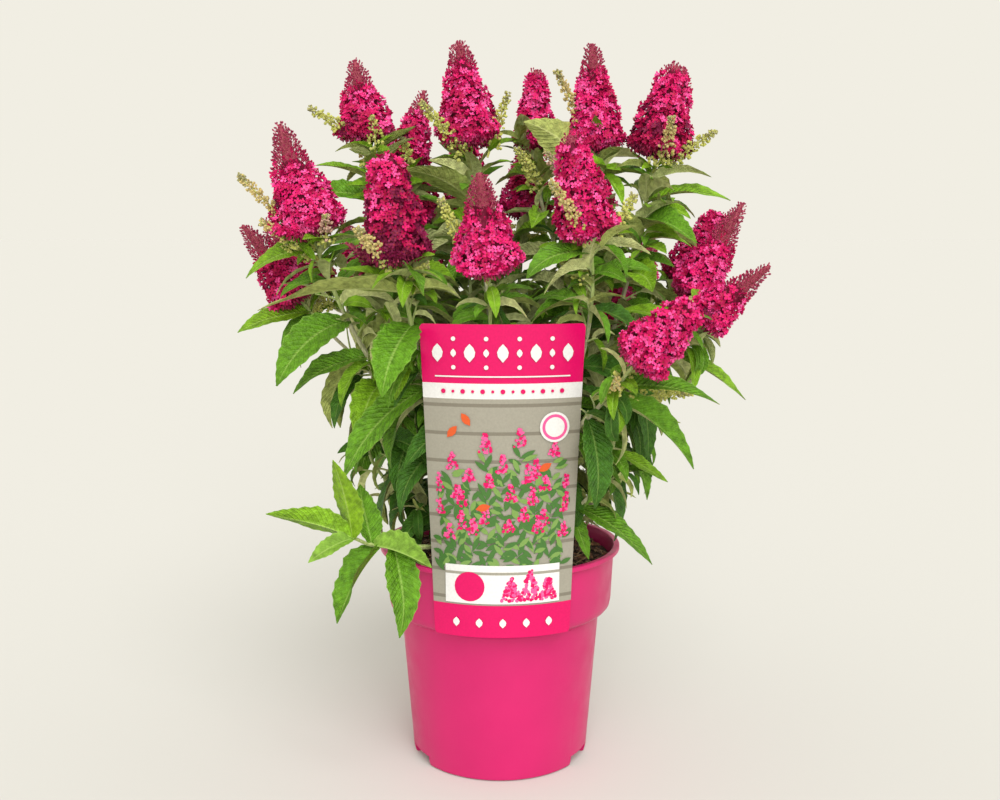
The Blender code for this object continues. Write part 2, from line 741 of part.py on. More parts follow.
def midrib_point(leaf, share, down):
    """A point of the leaf's midrib, which bends evenly through the leaf's droop."""
    turn = leaf["droop"] * share
    forward = leaf["way"] * (math.sin(turn) / leaf["droop"])
    return leaf["root"] + (forward + down * ((1 - math.cos(turn)) / leaf["droop"])) * leaf["length"]


def leaf_corners(leaf, start=0.0, margin=0.0):
    """A leaf drawn from a three sided ball: pointed at both ends, flat on top and keeled below, on an arch."""
    down, side = leaf_frame(leaf["way"], leaf["outward"])
    stations = ((start, 0.0), *LEAF_STATIONS, (1.0, 0.0))
    half_width = leaf["length"] * leaf["width"] / 2 + margin
    keel = leaf["length"] * LEAF_KEEL + margin
    corners = []
    for corner in LEAF_BALL[0]:
        share, breadth = stations[ring_of(corner, 3)]
        turn = leaf["droop"] * share
        under = down * math.cos(turn) - leaf["way"] * math.sin(turn)
        rolled_side = side * math.cos(leaf["roll"]) + under * math.sin(leaf["roll"])
        rolled_under = under * math.cos(leaf["roll"]) - side * math.sin(leaf["roll"])
        level = math.hypot(corner.x, corner.y) or 1
        across = corner.y / level / math.sin(math.radians(60)) * half_width * breadth
        depth = (corner.x / level + 0.5) / 1.5 * keel * breadth
        corners.append(midrib_point(leaf, share, down) + rolled_side * across + rolled_under * depth)
    return corners


def head_radius(share, bud):
    """The girth of a flower head at this share of its length: round at its foot, a spire where it is in bud."""
    if share < 0.16:
        return 0.72 + 0.28 * math.sin(share / 0.16 * math.pi / 2)
    tip = 0.46 - 0.28 * min(1, bud * 3)
    rest = (share - 0.16) / 0.84
    return tip + (1 - tip) * (1 - rest) ** (0.85 + 0.5 * bud)


def head_corners(head):
    """A flower head drawn from a coarse ball along its axis, with an uneven skin."""
    axis = head["tip"] - head["foot"]
    side = across_of(head["way"])
    other = head["way"].cross(side)
    corners = []
    for corner in HEAD_BALL[0]:
        ring = ring_of(corner, HEAD_RINGS)
        if ring in (0, HEAD_RINGS):
            corners.append(head["tip"].copy() if ring else head["foot"].copy())
            continue
        share = (ring - 0.7) / (HEAD_RINGS - 1.4)
        angle = math.atan2(corner.y, corner.x)
        bump = 1 + 0.07 * math.cos(angle * 4 + ring * math.pi)
        radius = head["girth"] / 2 * head_radius(share, head["bud"]) * bump
        corners.append(head["foot"] + axis * share + (side * math.cos(angle) + other * math.sin(angle)) * radius)
    return corners


def spike_corners(spike):
    """A young green spike: a thin stalk that swells above its middle."""
    axis = spike["tip"] - spike["root"]
    side = across_of(axis.normalized())
    other = axis.normalized().cross(side)
    corners = []
    for corner in SPIKE_BALL[0]:
        share, girth = ((0, 0), (0.3, 0.3), (0.6, 1), (0.86, 0.62), (1, 0))[ring_of(corner, 4)]
        angle = math.atan2(corner.y, corner.x)
        level = side * math.cos(angle) + other * math.sin(angle)
        corners.append(spike["root"] + axis * share + level * (SPIKE_GIRTH / 2 * girth))
    return corners


def grow_flowering_mass(bush, name):
    """The stem, the leader that runs on from it to the first head, and a side shoot to each other head."""
    stub = bush.stubs[name]
    first, *others = bush.heads[name]
    whole = smooth_curve(stub["end"], stub["way"] * 1.1, first["foot"], first["way"] * 0.9, 24)
    whole = bush.room.clear_line(name, whole, LEADER_BOW, LEADER_RADIUS)
    stem = joined_on(stub["end"], stub["way"], part_of(whole, 0, STEM_SHARE, STEM_POINTS))
    bush.stems[name] = stem
    bush.room.add(name + "_stem", "twig", *square_tube(stem, STUB_RADIUS))
    leader = part_of(whole, STEM_SHARE, 1, LEADER_POINTS)
    leader = joined_on(stem[-1], (stem[-1] - stem[-2]).normalized(), leader)
    bush.add_twig(name, leader, LEADER_RADIUS, first)
    for i, head in enumerate(others):
        start, way = along(leader, length_of(leader) * (0.3 + 0.2 * i))
        toward = (head["foot"] - start).normalized()
        start_way = (way + toward * 1.2).normalized()
        shoot = smooth_curve(start, start_way, head["foot"], head["way"], SHOOT_POINTS)
        bush.add_twig(name, bush.room.clear_line(name, shoot, SHOOT_BOW, SHOOT_RADIUS), SHOOT_RADIUS, head)


def grow_low_shoot(bush, name, end):
    """A leafy shoot from the foot of the bush, which turns upright at its end."""
    stub = bush.stubs[name]
    line = smooth_curve(stub["end"], stub["way"] * 0.9, end, Vector((0, 0, 0.9)), LEADER_POINTS)
    line = bush.room.clear_line(name, line, LEADER_BOW, LOW_STUB_RADIUS)
    bush.add_twig(name, joined_on(stub["end"], stub["way"], line), LOW_STUB_RADIUS)


def leaf_to(lines, near, tip, droop, roll):
    """A leaf from the twig's nearest point that ends at this tip."""
    root, axis = nearest_on(lines, place(near))
    chord = place(tip) - root
    level = Vector((chord.x, chord.y, 0)).normalized()
    down, side = leaf_frame(chord.normalized(), level)
    half = math.radians(droop) / 2
    way = (chord.normalized() * math.cos(half) - down * math.sin(half)).normalized()
    return {
        "root": root - way * MM,
        "outward": level,
        "way": way,
        "length": (chord.length + MM) * half / math.sin(half),
        "width": LEAF_WIDTH,
        "droop": 2 * half,
        "roll": math.radians(roll),
    }


def grow_young_shoot(bush):
    """The shoot that hangs over the rim, with the broad leaves of young growth."""
    name = "young_shoot"
    stub = bush.stubs[name]
    line = joined_on(stub["end"], stub["way"], [stub["end"]] + [place(point) for point in YOUNG_SHOOT_STEM])
    bush.add_twig(name, line, LOW_STUB_RADIUS)
    for near, tip, droop, roll in YOUNG_SHOOT_LEAVES:
        leaf = leaf_to([line], near, tip, droop, roll)
        leaf["width"] *= YOUNG_LEAF_BREADTH
        if bush.fits(name, leaf):
            bush.add_leaf(name, leaf)


def grow_back_spikes(bush, name):
    """Two young spikes, one on each side below every head of the back."""
    for k, twig in enumerate(bush.twigs[name]):
        rng = random.Random(name + str(k))
        line = twig["line"]
        root, axis = along(line, length_of(line) - rng.uniform(10, 16) * MM)
        side = across_of(axis)
        other = axis.cross(side)
        turn = rng.uniform(0, math.pi)
        for half in (0, math.pi):
            outward = side * math.cos(turn + half) + other * math.sin(turn + half)
            way = (axis + outward * rng.uniform(0.9, 1.3)).normalized()
            bush.add_spike(name, root, root + way * rng.uniform(30, 46) * MM)


def grow_outline_leaf(bush, name, near, tip, droop, roll):
    """A leaf that is placed by its tip, in the first of its forms that has room."""
    for more_droop, more_roll in OUTLINE_TRIES:
        leaf = leaf_to(bush.lines(name), near, tip, droop + more_droop, roll + more_roll)
        if bush.fits(name, leaf):
            bush.add_leaf(name, leaf)
            return


def new_leaf(rng, root, axis, outward, size):
    lowness = min(1, max(0, (DROOP_FROM - root.z) / (DROOP_FROM - DROOP_FULL)))
    return {
        "root": root,
        "axis": axis,
        "outward": outward,
        "spread": math.radians(rng.uniform(50, 72) + 14 * lowness),
        "length": LEAF_LENGTH * size * rng.uniform(0.85, 1.12),
        "width": LEAF_WIDTH * rng.uniform(0.9, 1.12),
        "droop": math.radians(rng.uniform(28, 62) + 36 * lowness),
        "roll": math.radians(rng.uniform(-42, 42)),
        "straggle": rng.uniform(0.9, 1.08),
    }


def leaf_pairs(line, low, high, sizes, rng):
    """Opposite pairs of leaves along a twig, each pair a quarter turn from the last, smaller towards its tip."""
    total = length_of(line)
    count = max(1, int(total * (high - low) / NODE_SPACING))
    turn = rng.uniform(0, math.pi)
    leaves = []
    for i in range(count):
        step = (i + 0.5) / count
        root, axis = along(line, total * (low + (high - low) * step))
        side = across_of(axis)
        other = axis.cross(side)
        for half in (0, math.pi):
            angle = turn + half + i * math.pi / 2 + rng.uniform(-0.25, 0.25)
            outward = side * math.cos(angle) + other * math.sin(angle)
            seat = root - outward * TWIG_TIP_RADIUS * 0.5
            leaves.append(new_leaf(rng, seat, axis, outward, sizes[0] + (sizes[1] - sizes[0]) * step))
    return leaves


def turned_leaf(leaf, sideways, upwards, size):
    """The leaf with another turn round its twig, another spread and another size."""
    axis = leaf["axis"]
    turn = math.radians(sideways)
    outward = leaf["outward"] * math.cos(turn) + axis.cross(leaf["outward"]) * math.sin(turn)
    spread = leaf["spread"] - math.radians(upwards)
    way = (axis * math.cos(spread) + outward * math.sin(spread)).normalized()
    return dict(leaf, outward=outward, way=way, length=leaf["length"] * size)


def crown_radius(height):
    low = CROWN[0]
    for high in CROWN[1:]:
        if height <= high[0] * MM:
            break
        low = high
    share = (height / MM - low[0]) / (high[0] - low[0])
    return (low[1] + (high[1] - low[1]) * min(1, max(0, share))) * MM


def inside_crown(leaf):
    """True where the leaf's tip is inside the crown and above the soil."""
    tip = midrib_point(leaf, 1, leaf_frame(leaf["way"], leaf["outward"])[0])
    return math.hypot(tip.x, tip.y) <= crown_radius(tip.z) * leaf["straggle"] and tip.z >= LOWEST_LEAF_TIP


def settle_leaf(bush, name, leaf):
    """Adds the leaf in the first of its turns that has room inside the crown."""
    for sideways, upwards, size in LEAF_TRIES:
        turned = turned_leaf(leaf, sideways, upwards, size)
        if inside_crown(turned) and bush.fits(name, turned):
            bush.add_leaf(name, turned)
            return


def grow_leaves(bush):
    """Leaves by rule on every twig, a leaf at a time from twig to twig, so that none takes all the room."""
    waiting = []
    for name, twigs in bush.twigs.items():
        for k, twig in enumerate(twigs if name != "young_shoot" else ()):
            rng = random.Random(name + "leaves" + str(k))
            low, high = (0.25, 0.93) if k else (0.05, 0.95)
            sizes = (1.05, 0.62) if twig["head"] else (1.0, 0.8)
            waiting.append((name, leaf_pairs(twig["line"], low, high, sizes, rng)))
    for i in range(max(len(leaves) for name, leaves in waiting)):
        for name, leaves in waiting:
            if i < len(leaves):
                settle_leaf(bush, name, leaves[i])


def grow(bush):
    """Grows every mass: heads first, then their stems and twigs, then spikes, and last the leaves."""
    for name, heads in bush.heads.items():
        for head in heads:
            bush.room.add(name, "head", head_corners(head), HEAD_BALL[1])
    for name in bush.heads:
        grow_flowering_mass(bush, name)
    for name, bearing, end in LOW_SHOOTS:
        grow_low_shoot(bush, name, place(end))
    grow_young_shoot(bush)
    for name, foot, tip in FRONT_SPIKES:
        bush.add_spike(name, nearest_on(bush.lines(name), place(foot))[0], place(tip))
    for name in bush.heads:
        if name.startswith("crown_back"):
            grow_back_spikes(bush, name)
    for name, near, tip, droop, roll in OUTLINE_LEAVES:
        grow_outline_leaf(bush, name, near, tip, droop, roll)
    grow_leaves(bush)


def make_mass(bush, name, parts):
    """Joins a mass's twigs, heads, spikes and leaves into one solid."""
    others = new_collection(name + "_pieces")
    for i, twig in enumerate(bush.twigs[name]):
        line = twig["line"] + ([twig["line"][-1] + twig["head"]["way"] * HEAD_SINK] if twig["head"] else [])
        label = f"{name}_twig_{i}" if i else name
        tube(label, line, twig["radius"], TWIG_TIP_RADIUS, 0, others if i else parts)
    for head in bush.heads.get(name, []):
        new_object("head", mesh_of("head", head_corners(head), HEAD_BALL[1]), others, "blossom_magenta")
    for spike in bush.spikes[name]:
        new_object("spike", mesh_of("spike", spike_corners(spike), SPIKE_BALL[1]), others, "spike_green")
    for leaf in bush.leaves[name]:
        new_object("leaf", mesh_of("leaf", leaf_corners(leaf), LEAF_BALL[1]), others, "leaf_green")
    join_all(parts.objects[name], others, "MANIFOLD")


def shade_round(thing):
    thing.data.shade_smooth()
    thing.data.set_sharp_from_angle(angle=math.radians(35))


def build():
    clear_scene()
    parts = new_collection("Potted butterfly bush")
    cutters = new_collection("Cutters")
    bush = Bush()
    for thing in (make_pot(parts, cutters), make_soil(parts), make_label(parts), make_stump(parts, bush.stubs)):
        bush.room.add_object(thing)
        shade_round(thing)
    grow(bush)
    for name, stem in bush.stems.items():
        shade_round(tube(name.replace("crown", "stem"), stem, STUB_RADIUS, LEADER_RADIUS, 1, parts))
    for name in bush.twigs:
        make_mass(bush, name, parts)


build()
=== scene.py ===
"""The looks of a potted butterfly bush in flower: its pot, soil, stems, leaves, blossom and plant label."""

import math
import random

import bpy
import numpy as np
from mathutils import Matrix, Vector, noise
from mathutils.bvhtree import BVHTree


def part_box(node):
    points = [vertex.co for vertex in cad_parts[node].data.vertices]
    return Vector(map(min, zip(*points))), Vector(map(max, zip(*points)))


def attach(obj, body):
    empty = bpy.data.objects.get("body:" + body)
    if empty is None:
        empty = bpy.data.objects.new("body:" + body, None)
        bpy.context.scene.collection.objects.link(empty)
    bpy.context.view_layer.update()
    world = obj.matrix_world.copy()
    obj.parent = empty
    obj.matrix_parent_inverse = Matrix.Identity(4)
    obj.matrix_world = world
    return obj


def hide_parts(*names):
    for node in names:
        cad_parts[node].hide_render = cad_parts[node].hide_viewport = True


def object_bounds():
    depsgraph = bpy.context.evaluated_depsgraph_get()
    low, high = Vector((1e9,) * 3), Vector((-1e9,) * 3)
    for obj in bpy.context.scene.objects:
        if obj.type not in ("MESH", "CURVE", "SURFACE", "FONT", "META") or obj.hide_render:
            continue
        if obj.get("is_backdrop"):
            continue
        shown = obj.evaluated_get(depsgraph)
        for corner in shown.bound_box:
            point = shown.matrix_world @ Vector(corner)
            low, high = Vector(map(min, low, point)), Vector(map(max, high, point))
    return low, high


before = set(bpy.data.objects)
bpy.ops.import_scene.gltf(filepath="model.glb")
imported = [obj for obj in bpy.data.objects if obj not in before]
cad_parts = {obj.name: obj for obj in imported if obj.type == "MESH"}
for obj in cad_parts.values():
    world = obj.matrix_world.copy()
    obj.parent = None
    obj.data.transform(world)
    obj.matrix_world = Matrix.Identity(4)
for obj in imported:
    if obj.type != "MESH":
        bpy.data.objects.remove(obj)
solid_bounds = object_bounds()
bpy.ops.object.select_all(action="DESELECT")

# The pot is a thin nursery container of pink polypropylene, blow moulded in one piece. It has a narrow lip, a
# wide band that stands proud of the wall, and three drain notches cut up into its foot.
MM = 0.001
POT_SIDES = 144
POT_HEIGHT = 170 * MM
LIP_RADIUS = 95 * MM
BAND_TOP_RADIUS = 90.5 * MM
BAND_FOOT_RADIUS = 88.5 * MM
BAND_FOOT_HEIGHT = 127 * MM
SHOULDER_RADIUS = 79 * MM
SHOULDER_HEIGHT = 116 * MM
POT_FOOT_RADIUS = 67.5 * MM
POT_WALL = 1.8 * MM
POT_PROFILE = (
    (POT_FOOT_RADIUS + 1.6 * MM, 0.9 * MM),
    (POT_FOOT_RADIUS + 2.5 * MM, 4 * MM),
    (SHOULDER_RADIUS, SHOULDER_HEIGHT),
    (SHOULDER_RADIUS + 1.5 * MM, SHOULDER_HEIGHT + 1.6 * MM),
    (BAND_FOOT_RADIUS - 2.6 * MM, BAND_FOOT_HEIGHT - 6.5 * MM),
    (BAND_FOOT_RADIUS - 0.9 * MM, BAND_FOOT_HEIGHT - 4.4 * MM),
    (BAND_FOOT_RADIUS, BAND_FOOT_HEIGHT),
    (BAND_TOP_RADIUS, POT_HEIGHT - 4.4 * MM),
    (BAND_TOP_RADIUS + 0.6 * MM, POT_HEIGHT - 3.7 * MM),
    (LIP_RADIUS - 0.4 * MM, POT_HEIGHT - 3.5 * MM),
    (LIP_RADIUS, POT_HEIGHT - 3.1 * MM),
    (LIP_RADIUS, POT_HEIGHT - 0.6 * MM),
    (LIP_RADIUS - 0.6 * MM, POT_HEIGHT),
    (LIP_RADIUS - 4.2 * MM, POT_HEIGHT),
    (LIP_RADIUS - 4.8 * MM, POT_HEIGHT - 0.5 * MM),
    (BAND_TOP_RADIUS - POT_WALL, POT_HEIGHT - 5 * MM),
    (BAND_FOOT_RADIUS - POT_WALL, BAND_FOOT_HEIGHT + 1 * MM),
    (SHOULDER_RADIUS - POT_WALL, SHOULDER_HEIGHT + 1 * MM),
    (POT_FOOT_RADIUS - POT_WALL, 14 * MM),
    (54 * MM, 11 * MM),
    (50 * MM, 3 * MM),
)
NOTCH_BEARINGS = (-154, -26, 90)
NOTCH_HEIGHT = 8 * MM
NOTCH_WIDTH = 29 * MM
NOTCH_DEPTH = 20 * MM
NOTCH_REACH = 68 * MM
NOTCH_BELOW = 4 * MM


def new_finish(name, colour, roughness, gloss=0.5):
    """A material with its shader, and the object coordinates that its patterns read."""
    material = bpy.data.materials.new(name)
    material.use_nodes = True
    nodes = material.node_tree.nodes
    shader = nodes["Principled BSDF"]
    shader.inputs["Base Color"].default_value = (*colour, 1)
    shader.inputs["Roughness"].default_value = roughness
    shader.inputs["Specular IOR Level"].default_value = gloss
    place = nodes.new("ShaderNodeTexCoord")
    return material, nodes, material.node_tree.links, shader, place.outputs["Object"]


def add_noise(nodes, links, place, scale, detail=4.0):
    pattern = nodes.new("ShaderNodeTexNoise")
    pattern.inputs["Scale"].default_value = scale
    pattern.inputs["Detail"].default_value = detail
    links.new(place, pattern.inputs["Vector"])
    return pattern.outputs["Fac"]


def add_ramp(nodes, links, factor, *stops):
    """A colour ramp of (position, colour) stops."""
    ramp = nodes.new("ShaderNodeValToRGB")
    while len(ramp.color_ramp.elements) < len(stops):
        ramp.color_ramp.elements.new(0.5)
    for element, (position, colour) in zip(ramp.color_ramp.elements, stops):
        element.position = position
        element.color = (*colour, 1)
    links.new(factor, ramp.inputs["Fac"])
    return ramp.outputs["Color"]


def add_relief(nodes, links, shader, height, strength, depth):
    bump = nodes.new("ShaderNodeBump")
    bump.inputs["Strength"].default_value = strength
    bump.inputs["Distance"].default_value = depth
    links.new(height, bump.inputs["Height"])
    links.new(bump.outputs["Normal"], shader.inputs["Normal"])


def shade(colour, factor):
    return tuple(min(1.0, channel * factor) for channel in colour)


def pot_plastic():
    """Pink polypropylene: a soft sheen, faint flow clouds in its colour, and a fine grain from the mould."""
    pink = (0.535, 0.008, 0.12)
    material, nodes, links, shader, place = new_finish("pot_plastic", pink, 0.4, 0.4)
    clouds = add_noise(nodes, links, place, 14, 3)
    colour = add_ramp(nodes, links, clouds, (0.3, shade(pink, 0.93)), (0.7, shade(pink, 1.05)))
    links.new(colour, shader.inputs["Base Color"])
    wear = add_noise(nodes, links, place, 60, 6)
    worn = add_ramp(nodes, links, wear, (0.35, (0.34,) * 3), (0.75, (0.5,) * 3))
    links.new(worn, shader.inputs["Roughness"])
    add_relief(nodes, links, shader, add_noise(nodes, links, place, 900, 2), 0.12, 0.0004)
    return material


def raise_walls(radius, height, profile):
    """Extrudes the selected round face up through rows of radius and height."""
    for next_radius, next_height in profile:
        bpy.ops.mesh.extrude_region_move(TRANSFORM_OT_translate={"value": (0, 0, next_height - height)})
        share = next_radius / radius
        bpy.ops.transform.resize(value=(share, share, 1))
        radius, height = next_radius, next_height


def cut_notch(pot, bearing):
    """Cuts a drain notch with a block that is set across the foot at this bearing."""
    angle = math.radians(bearing)
    middle = (NOTCH_REACH * math.cos(angle), NOTCH_REACH * math.sin(angle), NOTCH_HEIGHT / 2 - NOTCH_BELOW)
    bpy.ops.mesh.primitive_cube_add(size=1, location=middle, rotation=(0, 0, angle))
    block = bpy.context.object
    block.scale = (NOTCH_DEPTH, NOTCH_WIDTH, NOTCH_HEIGHT + 2 * NOTCH_BELOW)
    cut = pot.modifiers.new("notch", "BOOLEAN")
    cut.operation = "DIFFERENCE"
    cut.object = block
    bpy.context.view_layer.objects.active = pot
    bpy.ops.object.modifier_apply(modifier=cut.name)
    bpy.data.objects.remove(block, do_unlink=True)


bpy.ops.mesh.primitive_circle_add(vertices=POT_SIDES, radius=POT_FOOT_RADIUS, fill_type="NGON")
pot = bpy.context.object
pot.name = "nursery_pot"
bpy.ops.object.mode_set(mode="EDIT")
bpy.ops.mesh.select_all(action="SELECT")
bpy.ops.mesh.normals_make_consistent(inside=False)
raise_walls(POT_FOOT_RADIUS, 0.0, POT_PROFILE)
bpy.ops.mesh.select_all(action="SELECT")
bpy.ops.mesh.normals_make_consistent(inside=False)
bpy.ops.object.mode_set(mode="OBJECT")
for bearing in NOTCH_BEARINGS:
    cut_notch(pot, bearing)
pot.select_set(True)
bpy.ops.object.shade_smooth_by_angle(angle=math.radians(30))
pot.data.materials.clear()
pot.data.materials.append(pot_plastic())
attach(pot, "root")
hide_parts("pot")


# The soil is damp peat and composted bark that fills the pot to just under its lip. Coarse chips and pale
# fibres lie loose on top of it.
SOIL_TOP = 160 * MM
SOIL_EDGE = BAND_TOP_RADIUS - POT_WALL - 1.2 * MM
SOIL_FOOT = 15 * MM
SOIL_FOOT_RADIUS = 50 * MM
SOIL_PROFILE = (
    (POT_FOOT_RADIUS - POT_WALL - 0.6 * MM, SOIL_FOOT + MM),
    (SHOULDER_RADIUS - POT_WALL - 0.8 * MM, SHOULDER_HEIGHT),
    (BAND_FOOT_RADIUS - POT_WALL - 1.6 * MM, BAND_FOOT_HEIGHT + 2 * MM),
    (SOIL_EDGE, SOIL_TOP),
)
SOIL_RINGS = 26
CHIP_COUNT = 1500
CHIP_FACES = 6
FIBRE_COUNT = 170
FIBRE_FINISH = 4


def grained_finish(name, colour, look, clouds, stops, grain, relief, sheen=0.0):
    """A finish whose colour drifts between two stops over a fine relief. look is its roughness and gloss."""
    material, nodes, links, shader, place = new_finish(name, colour, *look)
    drift = add_noise(nodes, links, place, *clouds)
    links.new(add_ramp(nodes, links, drift, *stops), shader.inputs["Base Color"])
    add_relief(nodes, links, shader, add_noise(nodes, links, place, *grain), *relief)
    shader.inputs["Sheen Weight"].default_value = sheen
    return material


def soil_bark(name, colour):
    stops = (0.3, shade(colour, 0.45)), (0.7, shade(colour, 1.6))
    return grained_finish(name, colour, (0.9, 0.5), (260, 6), stops, (700, 5), (0.6, 0.0008))


def new_piece(name, corners, faces, finishes, face_finishes=None, smooth_under=None):
    """A mesh object from arrays. A face of three corners has -1 in its fourth place."""
    mesh = bpy.data.meshes.new(name)
    tidy = [tuple(face) if face[3] >= 0 else tuple(face[:3]) for face in faces.tolist()]
    mesh.from_pydata(corners.tolist(), [], tidy)
    for finish in finishes:
        mesh.materials.append(finish)
    if face_finishes is not None:
        mesh.polygons.foreach_set("material_index", face_finishes.astype(np.int32))
    if smooth_under is not None:
        mesh.shade_smooth()
        mesh.set_sharp_from_angle(angle=math.radians(smooth_under))
    mesh.update()
    piece = bpy.data.objects.new(name, mesh)
    bpy.context.scene.collection.objects.link(piece)
    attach(piece, "root")
    return piece


class Pile:
    """Many small shapes that are gathered into one mesh, each face with its own finish."""

    def __init__(self):
        self.corners = []
        self.faces = []
        self.finishes = []
        self.total = 0

    def add(self, corners, faces, finishes):
        shifted = faces + self.total
        shifted[faces < 0] = -1
        self.corners.append(corners)
        self.faces.append(shifted)
        self.finishes.append(np.broadcast_to(finishes, len(faces)))
        self.total += len(corners)

    def strew(self, shape, places, ways, sizes, rng, finish_rows):
        """Copies of a shape, its own Z along each way, spun at random. finish_rows has a row for each."""
        corners, faces = shape
        count = len(places)
        ways = ways / np.linalg.norm(ways, axis=1, keepdims=True)
        helper = np.where(np.abs(ways[:, 2:3]) < 0.9, [[0.0, 0.0, 1.0]], [[1.0, 0.0, 0.0]])
        side = np.cross(ways, helper)
        side /= np.linalg.norm(side, axis=1, keepdims=True)
        other = np.cross(ways, side)
        spin = rng.uniform(0, 2 * math.pi, (count, 1))
        x_way = side * np.cos(spin) + other * np.sin(spin)
        y_way = np.cross(ways, x_way)
        turn = np.stack([x_way, y_way, ways], axis=2)
        placed = np.einsum("fij,nj->fni", turn, corners) * sizes.reshape(-1, 1, 1) + places[:, None]
        offsets = (np.arange(count) * len(corners)).reshape(-1, 1, 1)
        all_faces = np.where(faces < 0, -1, faces + offsets).reshape(-1, 4)
        self.add(placed.reshape(-1, 3), all_faces, np.asarray(finish_rows).reshape(-1))

    def piece(self, name, finishes, smooth_under=None):
        return new_piece(
            name,
            np.vstack(self.corners),
            np.vstack(self.faces),
            finishes,
            np.concatenate(self.finishes),
            smooth_under,
        )


def block_shape(length, width, height, taper):
    """A rough chip: a block whose far end is narrower."""
    corners = []
    for z in (-height / 2, height / 2):
        corners += [(-length / 2, -width / 2, z), (length / 2, -width / 2 * taper, z)]
        corners += [(length / 2, width / 2 * taper, z), (-length / 2, width / 2, z)]
    faces = [(3, 2, 1, 0), (4, 5, 6, 7), (0, 1, 5, 4), (1, 2, 6, 5), (2, 3, 7, 6), (3, 0, 4, 7)]
    return np.array(corners), np.array(faces)


def soil_height(x, y):
    """The uneven top of the soil, which drops a little towards the pot's wall."""
    lumps = noise.noise(Vector((x, y, 0)) * 90) * 1.6 * MM
    crumbs = noise.noise(Vector((x, y, 0.3)) * 300) * 0.9 * MM
    return SOIL_TOP + lumps + crumbs - 1.5 * MM * (math.hypot(x, y) / SOIL_EDGE) ** 4


bpy.ops.object.select_all(action="DESELECT")
bpy.ops.mesh.primitive_circle_add(
    vertices=96, radius=SOIL_FOOT_RADIUS, fill_type="NGON", location=(0, 0, SOIL_FOOT)
)
soil = bpy.context.object
soil.name = "potting_mix"
bpy.ops.object.transform_apply(location=True, rotation=False, scale=False)
bpy.ops.object.mode_set(mode="EDIT")
bpy.ops.mesh.select_all(action="SELECT")
bpy.ops.mesh.normals_make_consistent(inside=False)
raise_walls(SOIL_FOOT_RADIUS, SOIL_FOOT, SOIL_PROFILE)
for ring in range(SOIL_RINGS):
    bpy.ops.mesh.inset(thickness=SOIL_EDGE / (SOIL_RINGS + 1), use_even_offset=False)
bpy.ops.mesh.poke()
bpy.ops.mesh.select_all(action="SELECT")
bpy.ops.mesh.normals_make_consistent(inside=False)
bpy.ops.object.mode_set(mode="OBJECT")
for corner in soil.data.vertices:
    if corner.co.z > SOIL_TOP - MM:
        corner.co.z = soil_height(corner.co.x, corner.co.y)
soil.data.materials.clear()
soil.data.materials.append(soil_bark("soil_peat", (0.05, 0.03, 0.018)))
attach(soil, "root")
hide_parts("potting_soil")

rng = np.random.default_rng(3)
chips = Pile()
reach = np.sqrt(rng.uniform(0.01, 1, CHIP_COUNT)) * (SOIL_EDGE - 4 * MM)
bearing = rng.uniform(0, 2 * math.pi, CHIP_COUNT)
spots = np.stack([reach * np.cos(bearing), reach * np.sin(bearing), np.zeros(CHIP_COUNT)], axis=1)
spots[:, 2] = [soil_height(x, y) + 0.7 * MM for x, y in spots[:, :2]]
tilt_x = rng.normal(0, 0.35, CHIP_COUNT)
tilt_y = rng.normal(0, 0.35, CHIP_COUNT)
tilts = np.stack([tilt_x, tilt_y, np.ones(CHIP_COUNT)], axis=1)
chips.strew(
    block_shape(6 * MM, 3 * MM, 1.1 * MM, 0.6),
    spots,
    tilts,
    rng.uniform(0.4, 1.35, CHIP_COUNT),
    rng,
    np.repeat(rng.choice(4, CHIP_COUNT, p=(0.4, 0.3, 0.2, 0.1)), CHIP_FACES),
)
fibre_spots = spots[:FIBRE_COUNT] + [0, 0, 0.8 * MM]
chips.strew(
    block_shape(9 * MM, 0.5 * MM, 0.4 * MM, 0.4),
    fibre_spots,
    tilts[:FIBRE_COUNT],
    rng.uniform(0.6, 1.4, FIBRE_COUNT),
    rng,
    np.full(FIBRE_COUNT * CHIP_FACES, FIBRE_FINISH),
)
bark_chips = chips.piece(
    "bark_chips",
    [
        soil_bark("chip_dark", (0.05, 0.028, 0.017)),
        soil_bark("chip_brown", (0.12, 0.06, 0.032)),
        soil_bark("chip_red_brown", (0.17, 0.075, 0.035)),
        soil_bark("chip_pale", (0.3, 0.19, 0.11)),
        soil_bark("fibre_tan", (0.42, 0.29, 0.15)),
    ],
)
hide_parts("potting_soil")


# The foot of the bush is a short woody stump with one stub for each stem. Bare ridged stems, brown below and
# downy grey-green above, lead from the stubs up into the crown.
CLEARANCE = 0.3 * MM
STUB_REACH = 19 * MM
STUB_LEVEL = SOIL_TOP + 8 * MM
STUB_RISE = math.radians(54)
STUB_RADIUS = 2.7 * MM
TOP_STUB_LENGTH = 26 * MM
LOW_STUB_LEVEL = SOIL_TOP + 5 * MM
LOW_STUB_RISE = math.radians(22)
LOW_STUB_RADIUS = 1.9 * MM
JOINT_STRAIGHT = 2.5 * MM
STEM_SHARE = 0.24
LEADER_POINTS = 7
SHOOT_POINTS = 5
LEADER_RADIUS = 2.1 * MM
SHOOT_RADIUS = 1.5 * MM
TWIG_TIP_RADIUS = 1.1 * MM
HEAD_SINK = 9 * MM
BOW_COUNTS = (0, 1, -1, 2, -2, 3, -3, 4, -4)
LEADER_BOW = 6 * MM
SHOOT_BOW = 8 * MM
STUMP_STEP = 1.625 * MM
STUMP_RINGS = 9
STUMP_SIDES = 40
STUB_RINGS = 8
STUB_SIDES = 14
STEM_SIDES = 12
BROWN_SHARE = 0.45

